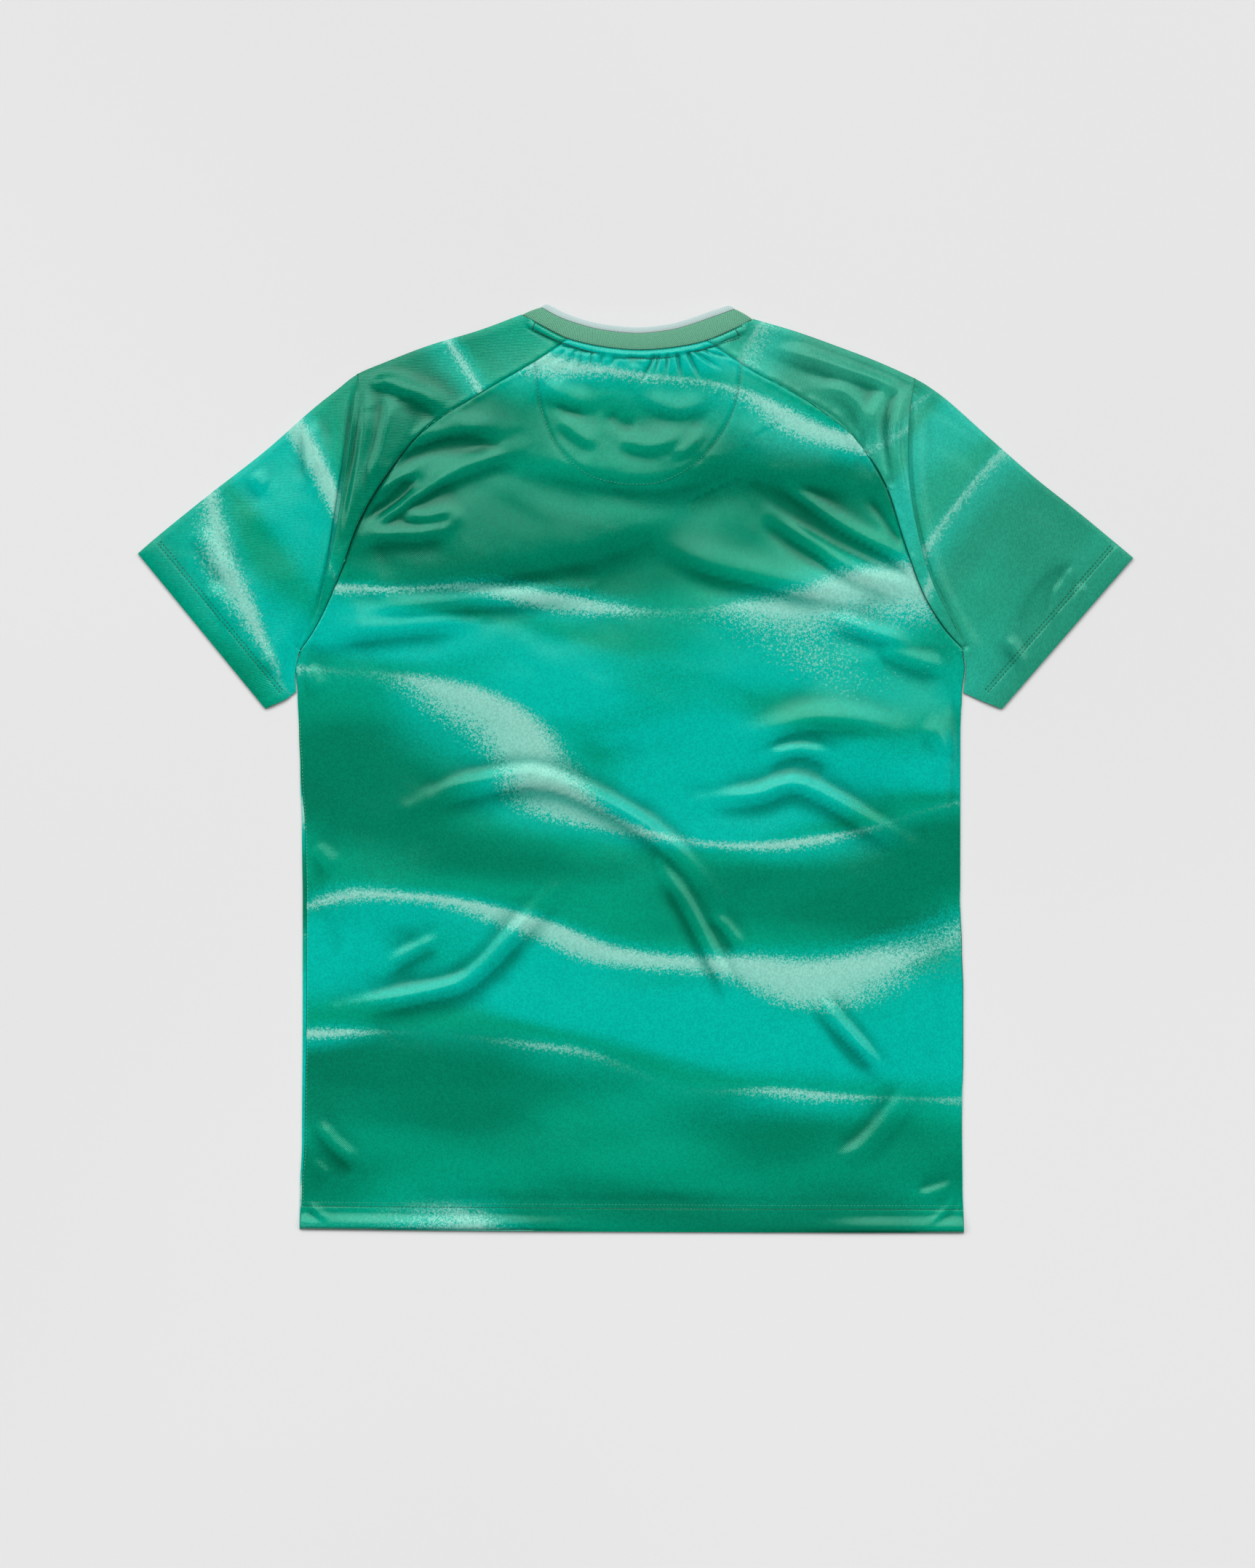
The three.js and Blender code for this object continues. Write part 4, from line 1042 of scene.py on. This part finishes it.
def make_front():
    """The front panel on the surface, its side edges rolled up beside the back panel.

    Across a side edge: flat along the surface, round a circle, then flat on top as far as the seam.
    """
    above = 61  # rows down to the underarm
    plan = body_plan("front", np.linspace(0, 1, above), np.linspace(0, 1, 121), np.linspace(0, 1, 41))
    rows = len(plan)
    y = plan[:, 0, 1]
    below = np.arange(rows) >= above
    grids = []
    for side, inwards in (("left", 1), ("right", -1)):
        edge = plan[:, 0 if side == "left" else -1]
        inset = np.where(below, side_at(side, np.minimum(y, SIDES[side]["y"][0]), "inset"), 0.25)
        roll = np.maximum(inset - 0.3, 0.15)
        radius = np.where(below, 1.2, 0.45) * smooth(-1, 8, np.arange(rows))
        stop = np.where(roll < radius, np.arccos(np.clip(1 - roll / radius, -1, 1)), np.pi / 2)
        turn = -np.pi / 2 + (stop + np.pi / 2)[:, None] * np.linspace(0, 1, 12)[None]
        x = radius[:, None] * (1 - np.cos(turn))
        z = radius[:, None] * (1 + np.sin(turn))
        extra = np.maximum(roll - radius, 0)[:, None] * np.linspace(0, 1, 5)[None, 1:]
        x = np.hstack([x, x[:, -1:] + extra])
        z = np.hstack([z, np.repeat(z[:, -1:], 4, 1)])
        rolled = np.stack([edge[:, None, 0] + inwards * x, np.repeat(edge[:, None, 1], x.shape[1], 1), z], -1)
        grids.append(rolled if side == "right" else rolled[:, ::-1])
    outer = np.concatenate([grids[0], raised(plan[:, 2:-2], 0), grids[1]], 1)
    steps = np.linalg.norm(np.diff(outer, axis=1), axis=-1)
    cloth = outer[..., :2].copy()
    cloth[:, 1:, 0] = cloth[:, :1, 0] + np.cumsum(steps, 1)
    outer, cloth = facing(outer, cloth, rows // 2, outer.shape[1] // 2, -1)
    inner = outer - normals_of(outer) * KNIT
    inner[..., 2] = np.maximum(inner[..., 2], CLEARANCE)
    return wall("front", outer, inner, cloth + PRINT_FRONT, KNIT_CLOTH, thin=1)


# ---------------------------------------------------------------- the sleeves


def ruled(start, end, share):
    """Straight rows from each start point to its end point, at shares of the way."""
    return start[:, None] + (end - start)[:, None] * share[None, :, None]


def stray_of(curve, share):
    """How far a curve is from the straight line between its ends, at shares of its length."""
    points = at(curve, share)
    first, last = curve[0][0], curve[0][-1]
    return points - (first + (last - first) * share[:, None])


def tuck_profile(tuck):
    """The cloth where a pleat folds over itself: how far past the fold's edge, how high, and how far
    along the cloth. Round a nose, back underneath, round a tight turn, and out along the layer below.
    """
    nose, turn = 1.0, 0.7
    a = np.linspace(np.pi / 2, -np.pi / 2, 9)
    b = np.linspace(np.pi / 2, 3 * np.pi / 2, 7)
    off = np.concatenate([
        nose * (np.cos(a) - 1), np.linspace(-nose - 2, -tuck + 2, 4), -tuck + turn * np.cos(b),
        np.linspace(-tuck + 2, 3.0, 8),
    ])
    up = np.concatenate([
        2 * turn + nose + nose * np.sin(a), np.full(4, 2 * turn), turn + turn * np.sin(b), np.zeros(8),
    ])
    return off, up, running(np.hypot(np.diff(off), np.diff(up)))


def make_sleeve(side):
    """A sleeve as one sheet. Its rows run from the raglan seam over the pleat to the cuff, and the rows
    go from the underarm up to the overarm fold, round it, and back down underneath.
    """
    arm = ARMS[side]
    rows_up, rows_down = 140, 23
    t = np.linspace(0, 1, rows_up) ** 1.05
    s_yoke, s_arm = spaced((0.06, 7), (1, 62)), spaced((0.86, 68), (1, 26))[1:]
    yoke_n = len(s_yoke)
    off, up, along = tuck_profile(arm["tuck"])

    def sheet(start, pleat, t):
        """Both halves of a layer in plan: from its start edge to the pleat, and from there to the cuff."""
        first, second = at(start, t), at(pleat, t)
        cuff = at(arm["cuff"], t)
        yoke = ruled(first, second, s_yoke)
        yoke += stray_of(arm["yoke"], s_yoke)[None] * (t**3)[:, None, None]
        lower = ruled(second, cuff, s_arm)
        lower += stray_of(arm["overarm"], s_arm)[None] * (t**2)[:, None, None]
        lower += stray_of(arm["underarm"], s_arm)[None] * ((1 - t) ** 3)[:, None, None]
        return yoke, second, lower

    pleat = backwards(arm["pleat"])
    yoke, fold, lower = sheet(arm["start_back"], pleat, t)
    outwards = -normal_in_plan(fold, yoke[:, -4])
    room = nearest(arm["start_back"][0], fold)[0]
    near = np.clip((room - 2.5) / arm["tuck"], 0, 1) * smooth(1.0, 0.85, t)
    high = smooth(0, 9, room) * smooth(1.0, 0.8, t)
    shift = off[None, :] * near[:, None]
    middle = fold[:, None] + outwards[:, None] * shift[..., None]
    yoke = yoke - (outwards * near[:, None])[:, None] * (s_yoke**6)[None, :, None]
    lower = lower + (outwards * (3.0 * near)[:, None])[:, None] * ((1 - s_arm) ** 6)[None, :, None]
    upper = np.concatenate([yoke, middle, lower], 1)
    away, beyond = nearest(fold, yoke)[0], nearest(fold, lower)[0]
    shelf = (3.4 * bell(away, 38) + 0.8 * bell(away, 4)) * high[:, None]
    bank = arm["bank"] * bell(beyond - 5, np.where(beyond < 5, 2.6, arm["bank_reach"]))
    bank = (bank - 0.9 * bell(beyond, 2.4)) * (high * smooth(0, 0.25, t))[:, None]
    z = np.concatenate([
        top_of(yoke, True) + shelf,
        top_of(np.repeat(fold[:, None], len(off), 1)) + up[None] * high[:, None],
        top_of(lower) + bank,
    ], 1)
    cloth = np.concatenate([
        yoke, fold[:, None] + outwards[:, None] * along[None, :, None],
        lower + outwards[:, None] * (along[-1] - 3.0),
    ], 1)
    cuff_off = nearest(arm["cuff"][0], upper)[0]
    z += hem_profile(cuff_off, SLEEVE_HEM)
    upper3 = raised(upper, z)

    t_down = np.linspace(1, 0, rows_down + 1)[1:]
    straight = chain([arm["pleat"][0][-1].tolist(), arm["pleat"][0][0].tolist()])
    yoke2, fold2, lower2 = sheet(arm["start_front"], straight, t_down)
    middle2 = np.repeat(fold2[:, None], len(off), 1)
    under = np.concatenate([yoke2, middle2, lower2], 1)
    spread = np.linspace(-1, 1, len(off))[None, :, None]
    axis = lower2[:, :1] - yoke2[:, -2:-1]
    under[:, yoke_n:yoke_n + len(off)] = fold2[:, None] + axis * 0.25 * spread

    # the overarm fold: half a circle square to the sheet's edge
    edge = upper[-1]
    inwards = normal_in_plan(edge, upper[-6])
    angle = np.linspace(np.pi / 2, -np.pi / 2, 9)[1:-1]
    top = z[-1]
    ring = edge[None] + inwards[None] * (FOLD_RADIUS * (1 - np.cos(angle)))[:, None, None]
    ring_z = top[None] / 2 + top[None] / 2 * np.sin(angle)[:, None]
    turn3 = raised(ring, ring_z)
    upper3[-1, :, :2] += inwards * FOLD_RADIUS
    upper3[-2, :, :2] += inwards * FOLD_RADIUS * 0.5
    grid = np.vstack([upper3, turn3, raised(under, 0)])
    cloth = np.vstack([cloth, np.repeat(cloth[-1:], len(turn3), 0), under * [1, -1] + [0, UNDERNEATH]])
    seam = normal_in_plan(grid[:rows_up, 0, :2], grid[:rows_up, 3, :2])
    grid[:rows_up, 0, :2] += seam * SEAM_GAP
    grid, cloth = facing(grid, cloth, 10, 20, 1)
    inner = grid - normals_of(grid) * KNIT
    inner[..., 2] = np.maximum(inner[..., 2], CLEARANCE)
    cloth = turned(cloth, arm["print_turn"], 1.0) + arm["print_move"]
    finish = KNIT_CLOTH if side == "left" else PAINTED_SHEEN_CLOTH
    return wall("sleeve_" + side + "_cloth", grid, inner, cloth, finish, thin=1)


# ---------------------------------------------------------------- the collar


def strip_ring(name, lower_back, upper_back, lower_front, upper_front, thick, crown, material):
    """A flattened ring of rib: over the back of the neck, round each folded end and along the front.

    Each station has a lower and an upper edge. Across it the outer side is crowned like an arch and
    rounded off at the edges, and the inner side lies the wall's thickness behind it.
    """
    back_n, turn_n, front_n = 150, 9, 110
    share = np.linspace(0.012, 0.988, back_n)
    rise = UPPER + lift(at(NECK["back"], share)) + 2.6
    low_end, end_radius = 3.1, 1.9  # the height of the ring's folded ends, and how round they are in plan
    height = low_end + (rise - low_end) * smooth(0, 0.12, share) * smooth(1, 0.88, share)

    def loop(back, front):
        """The stations' points and outward directions for one edge."""
        found = []
        over, under = at(back, share), even(front, front_n, 0.03, 0.97)
        for end in (0, 1):
            edge = at(back, float(end))
            ahead, behind = unit(over[-end] - edge), unit(under[-end] - edge)
            k = np.linspace(0, 1, turn_n)[:, None]
            inwards = unit(ahead * (1 - k) + behind * k)
            angle = np.pi * (0.5 - k)
            plan = edge + inwards * end_radius * (1 - np.cos(angle))
            z = low_end / 2 * (1 + np.sin(angle))
            found.append((np.hstack([plan, z]), np.hstack([-inwards * np.cos(angle), np.sin(angle)])))
        (left, left_out), (right, right_out) = found
        up, down = np.tile([0.0, 0, 1], (back_n, 1)), np.tile([0.0, 0, -1], (front_n, 1))
        points = np.vstack([left[::-1], raised(over, height), right, raised(under, 0)[::-1]])
        return points, np.vstack([left_out[::-1], up, right_out, down])

    low, low_out = loop(line(lower_back), line(lower_front))
    high, high_out = loop(line(upper_back), line(upper_front))
    v = np.array([0, 0.04, 0.12, 0.25, 0.4, 0.55, 0.7, 0.82, 0.92, 0.97, 1.0])
    way = high - low
    width = np.linalg.norm(way[:, :2], axis=1)
    inset = (SEAM_GAP / width)[:, None]
    across = inset + (1 - 2 * inset) * v[None]
    out = unit(low_out[:, None] * (1 - v)[None, :, None] + high_out[:, None] * v[None, :, None])
    arch = crown * np.sin(np.pi * v) ** 0.6 - 0.45 * crown
    centre = low[:, None] + way[:, None] * across[..., None]
    outer = centre + out * (arch - crown * 0.55)[None, :, None]
    inner = centre - out * (thick - 0.25 * crown * np.sin(np.pi * v))[None, :, None]
    for grid in (outer, inner):
        grid[..., 2] = np.maximum(grid[..., 2], 0.0)
    run = running(steps_of(np.vstack([low, low[:1]])))
    cloth = np.stack(np.broadcast_arrays(run[:, None], (v * width.mean())[None]), -1)
    if normals_of(outer, ring=True)[60, 5, 2] < 0:
        outer, inner, cloth = outer[:, ::-1], inner[:, ::-1], cloth[:, ::-1]
    return band(name, outer, inner, cloth, material)


# ---------------------------------------------------------------- sewing


def on_top(plan, raise_by=0.0):
    """Points in plan set on the upper layer's printed side."""
    plan = np.asarray(plan, float)
    return raised(plan, top_of(plan) + raise_by)


def beside(plan, off):
    """A path moved sideways in plan, to its left."""
    along = unit(np.gradient(plan, axis=0))
    return plan + off * np.stack([-along[:, 1], along[:, 0]], -1)


def make_stitches():
    """Every row of thread that shows."""
    rows = []

    def sew(name, plan, raise_by, *looks, cover=0.72):
        """A row on the upper layer. looks are its pitch, its thread and its width."""
        rows.append(stitch_row(name, on_top(plan, raise_by), *looks, cover=cover))

    sew("facing_stitches", even(line(FACING), 400), 0.15, 2.9, THREAD, 0.6, cover=0.5)
    sew("welt_lower_stitches", even(line(WELT_LINE), 300), 0.35, 2.3, DARK_THREAD, 0.8)
    neck = even(NECK["back"], 300, 0.06, 0.95)
    sew("welt_upper_stitches", beside(neck, -0.9), 0.1, 2.3, DARK_THREAD, 0.6)
    for side, ends in (("left", [[-81.6, 362.6], [-84.4, 356.2]]), ("right", [[81.2, 357.0], [84.8, 351.6]])):
        sew(f"bar_tack_{side}", even(chain(ends), 12), 0.2, 1.2, DARK_THREAD, 0.9)
    hem = np.stack([np.linspace(-269.5, 264.5, 500), np.zeros(500)], -1)
    share = (hem[:, 0] - HEM_LINE[0, 0]) / (HEM_LINE[1, 0] - HEM_LINE[0, 0])
    edge = HEM_LINE[0, 1] + (HEM_LINE[1, 1] - HEM_LINE[0, 1]) * share - HEM_SAG * np.sin(np.pi * share)
    twins = (("upper", BODY_HEM, THREAD, 0.5), ("lower", BODY_HEM - TWIN, DARK_THREAD, 0.85))
    for name, up, thread, cover in twins:
        hem[:, 1] = edge + up
        sew(f"hem_{name}_stitches", hem, 0.2 + hem_profile(up, BODY_HEM), 2.8, thread, 0.5, cover=cover)
    y = np.linspace(40, -372, 420)
    edge = side_at("left", y, "x") + side_at("left", y, "inset") + 0.9
    sew("side_left_stitches", np.stack([edge, y], -1), 0.1, 2.8, PALE_THREAD, 0.4, cover=0.5)
    for side, arm in ARMS.items():
        cuff = even(arm["cuff"], 240)
        way = -1 if side == "left" else 1
        for name, off in (("upper", SLEEVE_HEM), ("lower", SLEEVE_HEM - TWIN)):
            path = beside(cuff, way * off)
            limit = nearest(even(arm["overarm"], 30), path)[1]
            inside = path[limit * way < 0][4:-4]
            rise = 0.25 + hem_profile(off, SLEEVE_HEM)
            sew(f"cuff_{side}_{name}_stitches", inside, rise, 3.0, DARK_THREAD, 0.65, cover=0.62)
    return rows


# ---------------------------------------------------------------- building it


back = make_back()
front = make_front()
sleeves = {side: make_sleeve(side) for side in ("left", "right")}
collar = strip_ring(
    "collar", NECK_BACK, COLLAR_BACK, NECK_FRONT, COLLAR_FRONT, COLLAR_WALL, 0.7, RIB)
collar_tip = strip_ring(
    "collar_tip", COLLAR_BACK, EDGE_BACK, COLLAR_FRONT, EDGE_FRONT, COLLAR_WALL, 0.5, PALE_RIB)
stitches = make_stitches()

sewn = {"back": [], "left": [], "right": []}
for piece in stitches:
    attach(piece, "root")
    on = piece.name.split("_")[1] if piece.name.startswith("cuff") else "back"
    sewn[on].append(piece)

# each piece, the node it stands for, its finish, the width, length and area of what shows of its cut,
# what it lies on besides the surface, and the narrow pieces sewn to it
STANDS_FOR = [
    (back, "back_panel", "knit", (0.548, 0.722), 0.345, [front], sewn["back"]),
    (front, "front_panel", "knit", (0.556, 0.656), 0.330, [], []),
    (sleeves["left"], "sleeve_left", "knit", (0.38, 0.34), 0.079, [], sewn["left"]),
    (sleeves["right"], "sleeve_right", "knit", (0.38, 0.34), 0.079, [], sewn["right"]),
    (collar, "collar_band", "collar_rib", (0.46, 0.014), None, [], [collar_tip]),
    (collar_tip, "collar_edge", "pale_rib", None, None, [], []),
]
for piece, node, slot, flat, area, under, rows in STANDS_FOR:
    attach(piece, "root")
    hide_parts(node)

# ---------------------------------------------------------------- floor, light and camera


def make_floor():
    """A pale, even floor under the shirt."""
    paint = Paint("floor", Roughness=0.9, Specular_IOR_Level=0.1)
    where = paint.node("TexCoord").outputs["Object"]
    grain = paint.out(paint.node("TexNoise", {}, {"Vector": where, "Scale": 1.2, "Detail": 1.0}), "Fac")
    tone = paint.mix(paint.step(0.3, 0.7, grain), colour(226, 226, 226), colour(229, 229, 229))
    paint.surface("Base Color", tone)
    bpy.ops.mesh.primitive_plane_add(size=12, location=(0, 0, CAD_BOX[0][2] - 0.0002))
    floor = bpy.context.object
    floor.name = "floor"
    floor.data.materials.append(paint.material)


def sun_light(name, towards, width, power, mirrored=True):
    """A wide, far-off light that falls evenly on everything. width is how much of the sky it fills."""
    data = bpy.data.lights.new(name, "SUN")
    data.energy, data.angle = power, math.radians(width)
    lamp = bpy.data.objects.new(name, data)
    lamp.rotation_euler = Vector(towards).to_track_quat("Z", "Y").to_euler()
    lamp.visible_glossy = mirrored
    bpy.context.scene.collection.objects.link(lamp)


make_floor()
sun_light("window", (-0.06, 0.6, 0.88), 42, 1.93)
sun_light("window_left", (-0.75, 0.4, 0.8), 32, 0.8)
sun_light("window_right", (0.6, 0.36, 0.9), 32, 0.62)
sun_light("fill", (0.1, -0.2, 1.2), 120, 0.3, mirrored=False)
world = bpy.data.worlds.new("studio")
world.use_nodes = True
world.node_tree.nodes["Background"].inputs["Color"].default_value = (1, 1, 1, 1)
world.node_tree.nodes["Background"].inputs["Strength"].default_value = 0.1
bpy.context.scene.world = world
world.cycles_visibility.glossy = False
bpy.context.scene.view_settings.view_transform = "Standard"

LENS, SENSOR, HALF_HEIGHT = 85.0, 36.0, 0.638
AIM = (-0.0065, -0.0124)  # the point of the surface in the middle of the view
eye = bpy.data.cameras.new("camera")
eye.lens = LENS
eye.sensor_width = SENSOR
camera = bpy.data.objects.new("camera", eye)
camera.location = (*AIM, HALF_HEIGHT * LENS / (SENSOR / 2))
bpy.context.scene.collection.objects.link(camera)
bpy.context.scene.camera = camera
